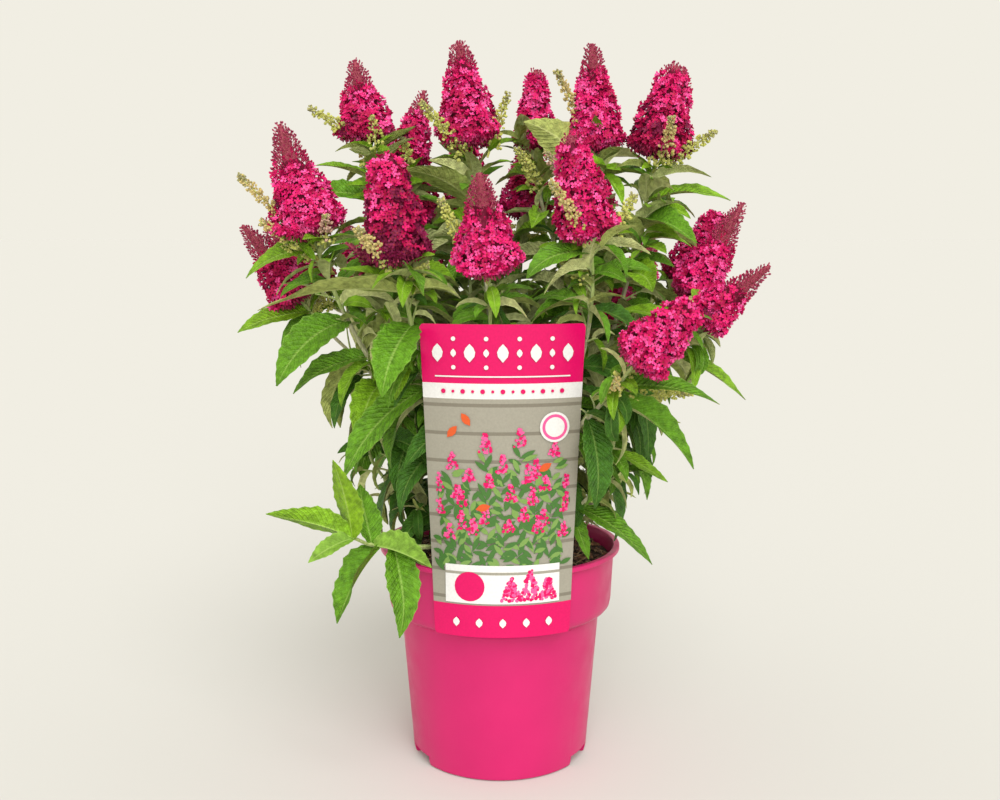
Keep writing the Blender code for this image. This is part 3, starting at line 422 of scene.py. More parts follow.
# Each flower head at the front: its mass, foot and tip, girth, the share in bud, and how far it has faded.
FRONT_HEADS = (
    ("crown_left", (-136, -50, 411), (-157, -62, 492), 54, 0.4, 0.1),
    ("crown_left", (-154, -5, 362), (-195, -20, 421), 42, 0.5, 0.5),
    ("crown_upper_left", (-102, 15, 484), (-112, 15, 547), 46, 0.4, 0.2),
    ("crown_upper_left", (-76, 55, 468), (-61, 64, 530), 36, 0.35, 0.3),
    ("crown_top", (-23, 25, 479), (-32, 25, 562), 49, 0.25, 0.2),
    ("crown_front_left", (-69, -96, 393), (-78, -112, 467), 45, 0.0, 0.9),
    ("crown_front", (-8, -98, 385), (-14, -116, 455), 48, 0.4, 0.1),
    ("crown_upper_right", (75, 15, 475), (70, 10, 559), 45, 0.3, 0.2),
    ("crown_upper_right", (28, 56, 480), (29, 60, 546), 34, 0.1, 0.2),
    ("crown_front_right", (62, -90, 408), (47, -104, 480), 43, 0.1, 0.3),
    ("crown_front_right", (68, 8, 340), (106, 16, 368), 34, 0.1, 0.8),
    ("crown_far_right", (119, 0, 470), (134, 0, 541), 49, 0.12, 0.6),
    ("crown_right", (141, -35, 363), (179, -40, 437), 40, 0.45, 0.1),
    ("crown_right", (143, -76, 350), (189, -92, 392), 34, 0.5, 0.2),
    ("crown_low_right", (90, -132, 327), (127, -150, 368), 40, 0.0, 0.1),
)

# The heads at the back stand in two rings, each with its reach, height, lean, first bearing, step and count.
BACK_RINGS = ((106, 428, 10, 48, 28, 4), (150, 366, 28, 14, 25.5, 7))
BACK_GIRTHS = (38, 48)
BACK_LENGTHS = (58, 76)
BACK_BUDS = (0.05, 0.3, 0.4, 0.45)
BACK_FADED = 0.25

# Each leafy shoot round the foot: its name, its bearing and its tip.
LOW_SHOOTS = (
    ("shoots_low_right", -38, (84, -62, 262)),
    ("shoots_low_front", -82, (6, -78, 268)),
    ("shoots_low_left", -150, (-92, -34, 272)),
    ("shoots_back_left", 150, (-96, 52, 266)),
    ("shoots_back", 96, (-14, 108, 258)),
    ("shoots_back_right", 32, (98, 66, 268)),
    ("shoots_left", 178, (-106, 4, 252)),
    ("shoots_right", -6, (108, -8, 254)),
)
YOUNG_SHOOT_BEARING = -124
YOUNG_SHOOT_STEM = ((-52, -70, 184), (-74, -92, 190), (-91, -102, 194), (-103, -112, 202))


def spot(values):
    """A point that is given in millimetres, in metres."""
    return Vector(values) * MM


def heading(bearing, rise):
    """The unit direction at this bearing from +X, and this angle above the ground."""
    return Vector((math.cos(bearing) * math.cos(rise), math.sin(bearing) * math.cos(rise), math.sin(rise)))


def across_of(direction):
    level = Vector((-direction.y, direction.x, 0))
    return level.normalized() if level.length > 0.05 else Vector((1, 0, 0))


def smooth_curve(start, start_way, end, end_way, count):
    """Points along the smooth curve that leaves start along one direction and reaches end along the other."""
    pull = (end - start).length
    points = []
    for i in range(count):
        t = i / (count - 1)
        a = 2 * t**3 - 3 * t**2 + 1
        b = t**3 - 2 * t**2 + t
        c = -2 * t**3 + 3 * t**2
        d = t**3 - t**2
        points.append(start * a + start_way * (pull * b) + end * c + end_way * (pull * d))
    return points


def bowed(points, side, bow):
    last = len(points) - 1
    return [point + side * (bow * math.sin(math.pi * i / last)) for i, point in enumerate(points)]


def length_of(points):
    return sum((b - a).length for a, b in zip(points, points[1:]))


def along(points, distance):
    """The point at this distance along a line, and the line's direction there."""
    for a, b in zip(points, points[1:]):
        step = (b - a).length
        if distance <= step:
            break
        distance -= step
    way = (b - a).normalized()
    return (b if distance > step else a + way * distance), way


def part_of(points, low, high, count):
    total = length_of(points)
    return [along(points, total * (low + (high - low) * i / (count - 1)))[0] for i in range(count)]


def joined_on(end, way, line):
    """The line, starting just clear of the limb that it grows on from, and straight on from it at first."""
    return [end + way * CLEARANCE, end + way * JOINT_STRAIGHT] + line[1:]


def rounded_line(points, steps):
    """A line that passes through the points without corners, with this many steps between each two."""
    ends = [points[0] * 2 - points[1]] + list(points) + [points[-1] * 2 - points[-2]]
    smooth = []
    for p0, p1, p2, p3 in zip(ends, ends[1:], ends[2:], ends[3:]):
        bend = p0 * 2 - p1 * 5 + p2 * 4 - p3
        twist = p1 * 3 - p0 - p2 * 3 + p3
        for i in range(steps):
            t = i / steps
            smooth.append((p1 * 2 + (p2 - p0) * t + bend * t**2 + twist * t**3) * 0.5)
    return smooth + [points[-1]]


skins = {}
for name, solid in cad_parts.items():
    corners = [corner.co for corner in solid.data.vertices]
    skins[name] = BVHTree.FromPolygons(corners, [tuple(face.vertices) for face in solid.data.polygons])


def gap_to_solid(name, point):
    """How far a point is from the skin of a solid."""
    return skins[name].find_nearest(point)[3]


def where_the_solid_is(name, line, step):
    """The line, bowed to the side where the mass's own twig runs."""
    side = across_of(line[-1] - line[0])
    tries = [bowed(line, side, count * step) for count in BOW_COUNTS]
    probes = range(len(line) // 3, len(line) - 1)
    return min(tries, key=lambda bent: sum(gap_to_solid(name, bent[i]) for i in probes))


def back_heads():
    """The heads of the crown's back: a ring of leaders, and an outer ring that the nearest leaders carry."""
    rng = random.Random(11)
    rings = []
    for reach, height, lean, first, step, count in BACK_RINGS:
        ring = []
        for i in range(count):
            bearing = math.radians(first + step * i + rng.uniform(-4, 4))
            level = height + rng.uniform(-14, 14)
            foot = Vector((reach * math.cos(bearing), reach * math.sin(bearing), level))
            girth = rng.uniform(*BACK_GIRTHS)
            length = rng.uniform(*BACK_LENGTHS)
            tilt = math.radians(90 - lean + rng.uniform(-7, 7))
            tip = foot + heading(bearing + math.radians(rng.uniform(-18, 18)), tilt) * length
            ring.append((bearing, tuple(foot), tuple(tip), girth, rng.choice(BACK_BUDS), BACK_FADED))
        rings.append(ring)
    leaders, others = rings
    heads = [(f"crown_back_{i + 1}", *leader[1:]) for i, leader in enumerate(leaders)]
    for other in others:
        nearest = min(range(len(leaders)), key=lambda i: abs(leaders[i][0] - other[0]))
        heads.append((f"crown_back_{nearest + 1}", *other[1:]))
    return tuple(heads)


def plan_masses():
    masses = {}
    for mass, foot, tip, girth, bud, faded in FRONT_HEADS + back_heads():
        head = {"foot": spot(foot), "tip": spot(tip), "girth": girth * MM, "bud": bud, "faded": faded}
        head["way"] = (head["tip"] - head["foot"]).normalized()
        masses.setdefault(mass, []).append(head)
    return masses


def new_stub(level, way, length, radius):
    root = Vector((0, 0, level))
    return {"root": root, "end": root + way * length, "way": way, "radius": radius}


def plan_stubs(masses):
    """Where each stem starts: evenly round the stump in the order of the bearings, the top one inmost."""
    bearings = {name: math.atan2(heads[0]["foot"].y, heads[0]["foot"].x) for name, heads in masses.items()}
    del bearings["crown_top"]
    ringed = sorted(bearings, key=bearings.get)
    step = 2 * math.pi / len(ringed)
    turn = sum(bearings[name] - step * i for i, name in enumerate(ringed)) / len(ringed)
    stubs = {}
    for i, name in enumerate(ringed):
        way = heading(turn + step * i, STUB_RISE)
        stubs[name] = new_stub(STUB_LEVEL, way, STUB_REACH / math.cos(STUB_RISE), STUB_RADIUS)
    stubs["crown_top"] = new_stub(STUB_LEVEL, Vector((0, 0, 1)), TOP_STUB_LENGTH, STUB_RADIUS)
    for name, bearing in [shoot[:2] for shoot in LOW_SHOOTS] + [("young_shoot", YOUNG_SHOOT_BEARING)]:
        way = heading(math.radians(bearing), LOW_STUB_RISE)
        stubs[name] = new_stub(LOW_STUB_LEVEL, way, STUB_REACH / math.cos(LOW_STUB_RISE), LOW_STUB_RADIUS)
    return stubs


def ridged_limb(line, radii, sides, relief):
    """Corners and faces of a closed limb of four soft ridges, with an uneven skin. Its ends are capped."""
    points = np.array([tuple(point) for point in line])
    ways = np.gradient(points, axis=0)
    ways /= np.linalg.norm(ways, axis=1, keepdims=True)
    side = np.cross(ways[0], [0.31, 0.95, 0.05])
    rings = []
    angles = np.arange(sides) * 2 * math.pi / sides
    for i, (point, way) in enumerate(zip(points, ways)):
        side = side - way * side.dot(way)
        side /= np.linalg.norm(side)
        other = np.cross(way, side)
        ridge = 1 + relief * np.cos(angles * 4) + relief * 0.6 * np.sin(angles * 3 + i * 1.7)
        ring = np.outer(np.cos(angles) * ridge, side) + np.outer(np.sin(angles) * ridge, other)
        rings.append(point + ring * radii[i])
    corners = np.vstack([*rings, points[:1], points[-1:]])
    count = len(points)
    faces = []
    for i in range(count - 1):
        for k in range(sides):
            a = i * sides + k
            b = i * sides + (k + 1) % sides
            faces.append((a, b, b + sides, a + sides))
    for k in range(sides):
        after = (k + 1) % sides
        last = (count - 1) * sides
        faces.append((count * sides, after, k, -1))
        faces.append((count * sides + 1, last + k, last + after, -1))
    return corners, np.array(faces)


def stem_skin(name, colour, ridge_colour, roughness):
    """Bark or green skin: streaks that run up the stem, a fine down, and a rough surface."""
    material, nodes, links, shader, place = new_finish(name, colour, roughness)
    stretch = nodes.new("ShaderNodeMapping")
    stretch.inputs["Scale"].default_value = (1, 1, 0.12)
    links.new(place, stretch.inputs["Vector"])
    streaks = add_noise(nodes, links, stretch.outputs["Vector"], 700, 5)
    streaked = add_ramp(nodes, links, streaks, (0.35, colour), (0.65, ridge_colour))
    links.new(streaked, shader.inputs["Base Color"])
    shader.inputs["Sheen Weight"].default_value = 0.2
    add_relief(nodes, links, shader, streaks, 0.5, 0.0005)
    return material


masses = plan_masses()
stubs = plan_stubs(masses)
bark_brown = stem_skin("bark_brown", (0.12, 0.075, 0.04), (0.26, 0.19, 0.11), 0.9)
stem_grey = stem_skin("stem_grey_green", (0.3, 0.3, 0.15), (0.55, 0.52, 0.33), 0.75)
stem_young = stem_skin("stem_young_green", (0.26, 0.34, 0.08), (0.42, 0.48, 0.18), 0.65)

stump_foot = SOIL_TOP + CLEARANCE + 0.3 * MM
stump_line = []
stump_radii = []
for i in range(STUMP_RINGS):
    sway = (0.4 * MM * math.sin(i * 2), 0.4 * MM * math.cos(i * 3))
    stump_line.append(Vector((*sway, stump_foot + i * STUMP_STEP)))
    stump_radii.append((12 - 4.2 * min(1, i / 5) ** 0.7 - 2.2 * max(0, i - 6) / 2) * MM)
wood = Pile()
wood.add(*ridged_limb(stump_line, stump_radii, STUMP_SIDES, 0.05), 0)
for stub in stubs.values():
    shares = [i / (STUB_RINGS - 1) for i in range(STUB_RINGS)]
    line = [stub["root"].lerp(stub["end"], share) for share in shares]
    radii = [stub["radius"] * (1.12 - 0.12 * share) for share in shares]
    wood.add(*ridged_limb(line, radii, STUB_SIDES, 0.07), 0)
stump = wood.piece("woody_stump", [bark_brown], 50)
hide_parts("stump")

twigs = {}
stems = Pile()
for name, (first, *others) in masses.items():
    stub = stubs[name]
    whole = smooth_curve(stub["end"], stub["way"] * 1.1, first["foot"], first["way"] * 0.9, 24)
    whole = where_the_solid_is(name, whole, LEADER_BOW)
    stem = joined_on(stub["end"], stub["way"], part_of(whole, 0, STEM_SHARE, 4))
    fine = rounded_line(stem, 6)
    radii = np.linspace(STUB_RADIUS, LEADER_RADIUS, len(fine))
    corners, faces = ridged_limb(fine, radii, STEM_SIDES, 0.08)
    stems.add(corners, faces, (np.arange(len(faces)) > len(faces) * BROWN_SHARE).astype(int))
    leader = part_of(whole, STEM_SHARE, 1, LEADER_POINTS)
    leader = joined_on(stem[-1], (stem[-1] - stem[-2]).normalized(), leader)
    twigs[name] = [{"line": leader, "radius": LEADER_RADIUS, "head": first}]
    for i, head in enumerate(others):
        start, way = along(leader, length_of(leader) * (0.3 + 0.2 * i))
        toward = (head["foot"] - start).normalized()
        leaving = (way + toward * 1.2).normalized()
        shoot = smooth_curve(start, leaving, head["foot"], head["way"], SHOOT_POINTS)
        shoot = where_the_solid_is(name, shoot, SHOOT_BOW)
        twigs[name].append({"line": shoot, "radius": SHOOT_RADIUS, "head": head})
for name, bearing, end in LOW_SHOOTS:
    stub = stubs[name]
    line = smooth_curve(stub["end"], stub["way"] * 0.9, spot(end), Vector((0, 0, 0.9)), LEADER_POINTS)
    line = joined_on(stub["end"], stub["way"], where_the_solid_is(name, line, LEADER_BOW))
    twigs[name] = [{"line": line, "radius": LOW_STUB_RADIUS, "head": None}]
stub = stubs["young_shoot"]
line = joined_on(stub["end"], stub["way"], [stub["end"]] + [spot(point) for point in YOUNG_SHOOT_STEM])
twigs["young_shoot"] = [{"line": line, "radius": LOW_STUB_RADIUS, "head": None}]
bare_stems = stems.piece("bare_stems", [bark_brown, stem_grey], 50)
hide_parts(*[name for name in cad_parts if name.startswith("stem_")])


# The leaves stand in opposite pairs. They are long and pointed with finely toothed edges, wrinkled and green
# on top, and felted pale sage below. The same rule that made the solids says where each of them grows.
NODE_SPACING = 21 * MM
LEAF_LENGTH = 79 * MM
LEAF_WIDTH = 0.35
LEAF_THICKNESS = 0.35 * MM
LEAF_RELIEF = 1.6 * MM
VEINS = 17.0
VEIN_SLANT = 6.0
DROOP_FROM = 440 * MM
DROOP_FULL = 340 * MM
LEAF_TRIES = (
    (0, 0, 1),
    (22, 0, 1),
    (-22, 0, 1),
    (0, 18, 0.9),
    (0, -18, 0.9),
    (35, 10, 0.75),
    (-35, 10, 0.75),
)
OUTLINE_DROOPS = (0, 12, -12, 20)
LEAF_FOUND_WITHIN = 0.2 * MM
FIRST_STATION = 0.3

# Leaves that the photo shows one by one: the mass of each, the point it grows near, its tip, its droop and
# its roll in degrees, its breadth and its tint. Places are in millimetres. The young shoot's name no mass.
OUTLINE_LEAVES = (
    ("crown_left", (-139, -55, 405), (-187, -48, 382), 45, 38, 1.1, "bright"),
    ("crown_left", (-149, -15, 352), (-201, -20, 340), 20, 32, 1.25, "bright"),
    ("crown_left", (-105, -75, 345), (-157, -95, 307), 55, 25, 1.1, "middle"),
    ("crown_left", (-91, -55, 320), (-153, -62, 298), 40, 25, 1.1, "middle"),
    ("crown_front_left", (-75, -108, 366), (-162, -128, 362), 35, -22, 0.9, "sage"),
    ("crown_front_left", (-60, -80, 293), (-110, -98, 242), 50, 20, 1.0, "middle"),
    ("crown_front_left", (-49, -100, 345), (-80, -142, 306), 40, 10, 1.2, "middle"),
    ("crown_upper_left", (-104, 8, 452), (-142, 4, 466), 30, 12, 1.0, "bright"),
    ("crown_top", (-23, -10, 436), (-75, -28, 460), 45, -25, 0.9, "sage"),
    ("crown_far_right", (115, -10, 436), (174, -12, 437), 55, -20, 1.0, "bright"),
    ("crown_upper_right", (50, 10, 452), (20, -6, 500), 30, -75, 1.3, "sage"),
    ("crown_far_right", (88, -25, 424), (136, -62, 406), 60, -22, 1.1, "middle"),
    ("crown_right", (138, -50, 322), (180, -62, 291), 30, -25, 1.0, "bright"),
    ("crown_low_right", (105, -100, 309), (150, -118, 298), 35, -28, 1.0, "middle"),
    ("crown_low_right", (92, -90, 300), (133, -108, 248), 60, -35, 1.0, "middle"),
    ("shoots_low_right", (73, -50, 256), (123, -64, 230), 30, -20, 1.0, "bright"),
    ("shoots_low_right", (62, -48, 200), (110, -78, 172), 45, -10, 1.0, "middle"),
    ("shoots_low_right", (60, -50, 190), (66, -62, 172), 20, 0, 1.0, "middle"),
)
YOUNG_SHOOT_LEAVES = (
    ((-103, -112, 202), (-163, -112, 217), 25, -60, 1.18, "fresh"),
    ((-103, -112, 203), (-113, -126, 260), 14, 0, 1.18, "lime"),
    ((-91, -102, 194), (-104, -76, 232), 14, 0, 1.3, "green"),
    ((-102, -112, 200), (-131, -131, 189), 35, 30, 1.18, "pale"),
    ((-90, -102, 194), (-48, -118, 181), 30, 62, 1.7, "pale"),
    ((-84, -99, 192), (-113, -116, 140), 40, 0, 1.4, "green"),
    ((-76, -94, 190), (-65, -121, 133), 35, 0, 1.18, "green"),
)
MORE_FRONT_LEAVES = (
    ("crown_upper_right", (69, -2, 474), (72, -18, 500), 40, 10, 0.85, "lime"),
    ("crown_front_left", (-68, -95, 369), (-107, -115, 388), 50, 25, 1.0, "bright"),
    ("crown_front_right", (46, -88, 404), (16, -112, 384), 55, 25, 1.15, "middle"),
    ("crown_front_right", (56, -88, 401), (76, -104, 412), 50, -25, 0.9, "bright"),
    ("crown_far_right", (88, -60, 386), (110, -80, 373), 30, -25, 1.0, "bright"),
)

# Leaves are left out where they would hang before the label, or cross a gap that shows the sky from the
# front. Each gap is given by its x, its z and its radius, in the upright plane through the pot's middle.
FRONT_EYE = (0, -900, 410)
SKY_GAPS = (
    (-134, 351, 15),
    (-152, 353, 9),
    (-120, 330, 10),
    (-137, 322, 10),
    (-105, 299, 6),
    (-92, 259, 9),
    (42, 388, 6),
    (101, 440, 6),
    (15, 435, 5),
    (122, 355, 6),
    (104, 288, 5),
)
LABEL_SPACE = ((-60, 66), (-200, -92), (123, 352))


def nearest_on(lines, target):
    """The point on any of the lines that is nearest to the target, and the line's direction there."""
    best = None
    for points in lines:
        for a, b in zip(points, points[1:]):
            span = b - a
            share = min(1, max(0, (target - a).dot(span) / span.length_squared))
            found = a + span * share
            if best is None or (found - target).length < (best[0] - target).length:
                best = (found, span.normalized())
    return best


def leaf_frame(way, outward):
    """The direction a leaf droops towards and the one it lies across, for the way its midrib starts."""
    down = Vector((0, 0, -1)) + outward * 0.35
    down -= way * down.dot(way)
    down.normalize()
    return down, way.cross(down).normalized()


def midrib_point(leaf, share):
    down = leaf_frame(leaf["way"], leaf["outward"])[0]
    turn = leaf["droop"] * share
    forward = leaf["way"] * (math.sin(turn) / leaf["droop"])
    return leaf["root"] + (forward + down * ((1 - math.cos(turn)) / leaf["droop"])) * leaf["length"]


def leaf_to(lines, near, tip, droop, roll, breadth, tint):
    """A leaf from the twig's nearest point that ends at this tip."""
    root, axis = nearest_on(lines, spot(near))
    chord = spot(tip) - root
    level = Vector((chord.x, chord.y, 0)).normalized()
    down, side = leaf_frame(chord.normalized(), level)
    half = math.radians(droop) / 2
    way = (chord.normalized() * math.cos(half) - down * math.sin(half)).normalized()
    return {
        "root": root - way * MM,
        "outward": level,
        "way": way,
        "length": (chord.length + MM) * half / math.sin(half),
        "width": LEAF_WIDTH * breadth,
        "droop": 2 * half,
        "roll": math.radians(roll),
        "tint": tint,
    }


def new_leaf(rng, root, axis, outward, size):
    lowness = min(1, max(0, (DROOP_FROM - root.z) / (DROOP_FROM - DROOP_FULL)))
    return {
        "root": root,
        "axis": axis,
        "outward": outward,
        "spread": math.radians(rng.uniform(50, 72) + 14 * lowness),
        "length": LEAF_LENGTH * size * rng.uniform(0.85, 1.12),
        "width": LEAF_WIDTH * rng.uniform(0.9, 1.12),
        "droop": math.radians(rng.uniform(28, 62) + 36 * lowness),
        "roll": math.radians(rng.uniform(-42, 42)),
        "straggle": rng.uniform(0.9, 1.08),
    }


def out_of_twig(axis, turn):
    """The direction straight out of a twig, at this turn round it."""
    side = across_of(axis)
    return side * math.cos(turn) + axis.cross(side) * math.sin(turn)


def leaf_pairs(line, low, high, sizes, rng, spacing=NODE_SPACING):
    """Opposite pairs of leaves along a twig, each a quarter turn from the last, smaller towards its tip."""
    total = length_of(line)
    count = max(1, int(total * (high - low) / spacing))
    turn = rng.uniform(0, math.pi)
    leaves = []
    for i in range(count):
        step = (i + 0.5) / count
        root, axis = along(line, total * (low + (high - low) * step))
        for half in (0, math.pi):
            outward = out_of_twig(axis, turn + half + i * math.pi / 2 + rng.uniform(-0.25, 0.25))
            seat = root - outward * TWIG_TIP_RADIUS * 0.5
            leaves.append(new_leaf(rng, seat, axis, outward, sizes[0] + (sizes[1] - sizes[0]) * step))
    return leaves


def turned_leaf(leaf, sideways, upwards, size):
    """The leaf with another turn round its twig, another spread and another size."""
    axis = leaf["axis"]
    turn = math.radians(sideways)
    outward = leaf["outward"] * math.cos(turn) + axis.cross(leaf["outward"]) * math.sin(turn)
    spread = leaf["spread"] - math.radians(upwards)
    way = (axis * math.cos(spread) + outward * math.sin(spread)).normalized()
    return dict(leaf, outward=outward, way=way, length=leaf["length"] * size)


def grew(name, leaf):
    """True where the mass's solid has this leaf."""
    return gap_to_solid(name, midrib_point(leaf, FIRST_STATION)) < LEAF_FOUND_WITHIN


def in_the_way(leaf):
    """True where a leaf would hang before the label, or cross a gap that shows the sky from the front."""
    eye = spot(FRONT_EYE)
    for share in (0.35, 0.6, 0.85, 1):
        point = midrib_point(leaf, share)
        if all(low * MM < value < high * MM for value, (low, high) in zip(point, LABEL_SPACE)):
            return True
        seen = eye + (point - eye) * (eye.y / (eye.y - point.y))
        if any(math.hypot(seen.x - x * MM, seen.z - z * MM) < size * MM for x, z, size in SKY_GAPS):
            return True
    return False


grown = []
lines_of = {name: [twig["line"] for twig in found] for name, found in twigs.items()}
for row in YOUNG_SHOOT_LEAVES:
    leaf = leaf_to(lines_of["young_shoot"], *row)
    if grew("young_shoot", leaf):
        grown.append(leaf)
for name, near, tip, droop, *rest in OUTLINE_LEAVES:
    for more_droop in OUTLINE_DROOPS:
        leaf = leaf_to(lines_of[name], near, tip, droop + more_droop, *rest)
        if grew(name, leaf):
            grown.append(leaf)
            break
for name, found in twigs.items():
    for k, twig in enumerate(found if name != "young_shoot" else ()):
        low, high = (0.25, 0.93) if k else (0.05, 0.95)
        sizes = (1.05, 0.62) if twig["head"] else (1.0, 0.8)
        for leaf in leaf_pairs(twig["line"], low, high, sizes, random.Random(name + "leaves" + str(k))):
            for sideways, upwards, size in LEAF_TRIES:
                turned = turned_leaf(leaf, sideways, upwards, size)
                if grew(name, turned):
                    if not in_the_way(turned):
                        grown.append(turned)
                    break
front_leaves = [leaf_to(lines_of[name], *row) for name, *row in MORE_FRONT_LEAVES]


def leaf_skin(name, colour, vein_colour, roughness, gloss, relief):
    """A leaf's surface: a pale midrib, faint side veins that follow the blade, blotches, and quilting."""
    material, nodes, links, shader, place = new_finish(name, colour, roughness, gloss)
    blade = nodes.new("ShaderNodeUVMap")
    blade.uv_map = "blade"
    split = nodes.new("ShaderNodeSeparateXYZ")
    links.new(blade.outputs["UV"], split.inputs["Vector"])

    def sums(operation, first, second=None):
        node = nodes.new("ShaderNodeMath")
        node.operation = operation
        for socket, value in zip(node.inputs, (first, second)):
            if isinstance(value, (int, float)):
                socket.default_value = value
            elif value is not None:
                links.new(value, socket)
        return node.outputs["Value"]

    def mixed(factor, under, over):
        node = nodes.new("ShaderNodeMix")
        node.data_type = "RGBA"
        links.new(factor, node.inputs["Factor"])
        links.new(under, node.inputs["A"])
        node.inputs["B"].default_value = (*over, 1)
        return node.outputs["Result"]

    off_midrib = sums("ABSOLUTE", sums("SUBTRACT", split.outputs["X"], 0.5))
    vein_rise = sums("MULTIPLY", off_midrib, VEIN_SLANT)
    vein_count = sums("SUBTRACT", sums("MULTIPLY", split.outputs["Y"], VEINS), vein_rise)
    off_vein = sums("ABSOLUTE", sums("SUBTRACT", sums("FRACT", vein_count), 0.5))
    blotches = add_noise(nodes, links, place, 210, 7)
    base = add_ramp(nodes, links, blotches, (0.3, shade(colour, 0.6)), (0.72, shade(colour, 1.35)))
    side_veins = add_ramp(nodes, links, off_vein, (0.02, (0.2,) * 3), (0.12, (0, 0, 0)))
    midrib = add_ramp(nodes, links, off_midrib, (0.012, (0.85,) * 3), (0.045, (0, 0, 0)))
    edge = add_ramp(nodes, links, off_midrib, (0.455, (0, 0, 0)), (0.495, (0.45,) * 3))
    veined = mixed(midrib, mixed(side_veins, base, vein_colour), vein_colour)
    links.new(mixed(edge, veined, vein_colour), shader.inputs["Base Color"])
    cells = nodes.new("ShaderNodeTexVoronoi")
    cells.inputs["Scale"].default_value = 620
    links.new(place, cells.inputs["Vector"])
    quilting = sums("ADD", sums("MINIMUM", sums("MULTIPLY", off_vein, 3.0), 0.8), cells.outputs["Distance"])
    sunk_midrib = sums("MINIMUM", sums("MULTIPLY", off_midrib, 12.0), 0.8)
    add_relief(nodes, links, shader, sums("ADD", quilting, sunk_midrib), relief, LEAF_RELIEF)
    return material


LEAF_FINISHES = (
    leaf_skin("leaf_fresh", (0.18, 0.355, 0.013), (0.32, 0.49, 0.085), 0.5, 0.2, 0.55),
    leaf_skin("leaf_mid", (0.105, 0.255, 0.012), (0.24, 0.4, 0.07), 0.5, 0.2, 0.6),
    # The deep green is a shaded copy of the leaf green, dealt only to leaves low and inside the crown as
    # painted shade.
    leaf_skin("leaf_deep_painted_shade", (0.045, 0.135, 0.011), (0.15, 0.26, 0.05), 0.5, 0.2, 0.6),
    leaf_skin("leaf_lime", (0.18, 0.33, 0.012), (0.29, 0.43, 0.07), 0.42, 0.2, 0.3),
    leaf_skin("leaf_pale", (0.17, 0.31, 0.033), (0.28, 0.42, 0.09), 0.6, 0.2, 0.3),
    leaf_skin("leaf_under_sage", (0.5, 0.53, 0.22), (0.61, 0.63, 0.31), 0.85, 0.12, 0.4),
    leaf_skin("leaf_under_olive", (0.36, 0.41, 0.115), (0.49, 0.53, 0.2), 0.85, 0.12, 0.4),
)
FRESH, MIDDLE, DEEP, LIME, PALE, SAGE, OLIVE = range(7)
TINTS = {
    "fresh": (FRESH, FRESH),
    "lime": (LIME, LIME),
    "pale": (PALE, PALE),
    "green": (MIDDLE, MIDDLE),
    "bright": (FRESH, OLIVE),
    "middle": (MIDDLE, SAGE),
    "sage": (OLIVE, OLIVE),
}

LARGE_LEAF_ROWS = 25
SMALL_LEAF_ROWS = 7
TOOTH = 0.0022
ACROSS = np.array([-1, -0.5, 0, 0.5, 1])


def leaf_faces(rows):
    """The faces of a blade. Each row has five corners across its top and three below, and the tip is one."""
    faces, finishes = [], []
    for i in range(rows):
        top = [i * 8 + k for k in range(5)]
        under = [top[0], top[0] + 5, top[0] + 6, top[0] + 7, top[4]]
        tip = rows * 8
        for k in range(4):
            if i == rows - 1:
                faces += [(top[k], top[k + 1], tip, -1), (under[k + 1], under[k], tip, -1)]
            else:
                faces.append((top[k], top[k + 1], top[k + 1] + 8, top[k] + 8))
                faces.append((under[k], under[k] + 8, under[k + 1] + 8, under[k + 1]))
            finishes += [0, 1]
    faces += [(0, 5, 1, -1), (1, 5, 6, 2), (2, 6, 7, 3), (3, 7, 4, -1)]
    return np.array(faces), np.array(finishes + [1] * 4)


def leaf_places(rows):
    """The share of the length and of the breadth at each corner of a blade."""
    steps = [0.5 - 0.5 * math.cos(math.pi * (i + 0.3) / (rows + 0.3)) for i in range(rows)]
    steps[0] = 0
    return [(side, share) for share in steps for side in (*ACROSS, -0.5, 0, 0.5)] + [(0, 1)]


def leaf_blade(leaf, places, rng):
    """The corners of a leaf: an arch, folded along its midrib, puffed beside it, waved and toothed."""
    down, side = leaf_frame(leaf["way"], leaf["outward"])
    way, down, side = np.array(leaf["way"]), np.array(down), np.array(side)
    size = leaf["length"]
    u, share = places[:, :1], places[:, 1:]
    out = np.abs(u)
    row = np.arange(len(places))[:, None] // 8
    below_top = np.arange(len(places))[:, None] % 8 > 4
    breadth = np.sin(math.pi * np.minimum(share, 0.9999) ** 0.8) ** 0.75 * (1 - 0.3 * share**4)
    teeth = np.where(out == 1, 1 + TOOTH * (len(places) // 8) * (-1.0) ** row, 1)
    breadth = np.maximum(breadth, 0.05) * teeth
    turns = leaf["droop"] * share
    arch = way * np.sin(turns) / leaf["droop"] + down * (1 - np.cos(turns)) / leaf["droop"]
    under = down * np.cos(turns) - way * np.sin(turns)
    rolls = leaf["roll"] + rng.uniform(-0.5, 0.5) * (share - 0.3)
    across = side * np.cos(rolls) + under * np.sin(rolls)
    below = under * np.cos(rolls) - side * np.sin(rolls)
    curl = rng.uniform(-0.09, 0.09) * size * np.clip((share - 0.55) / 0.45, 0, 1) ** 2
    fold = rng.uniform(0.2, 0.95) * (1 - 0.55 * share)
    reach = size * leaf["width"] / 2 * breadth * u
    puff = (0.06 + 0.07 * (row % 2)) * np.abs(reach) * (out == 0.5)
    wave = rng.uniform(0.03, 0.11) * np.sin(rng.uniform(0, 6.3) + u * 2 + share * 13) * out
    lift = np.abs(reach) * np.sin(fold) + puff + wave * size * leaf["width"] / 2 * breadth
    lift -= below_top * LEAF_THICKNESS * (1 + (u == 0) * (1 - share))
    corners = np.array(leaf["root"]) + arch * size + across * (curl + reach * np.cos(fold)) - below * lift
    corners[-1] = np.array(leaf["root"]) + arch[-1] * size + across[-1] * curl[-1]
    return corners


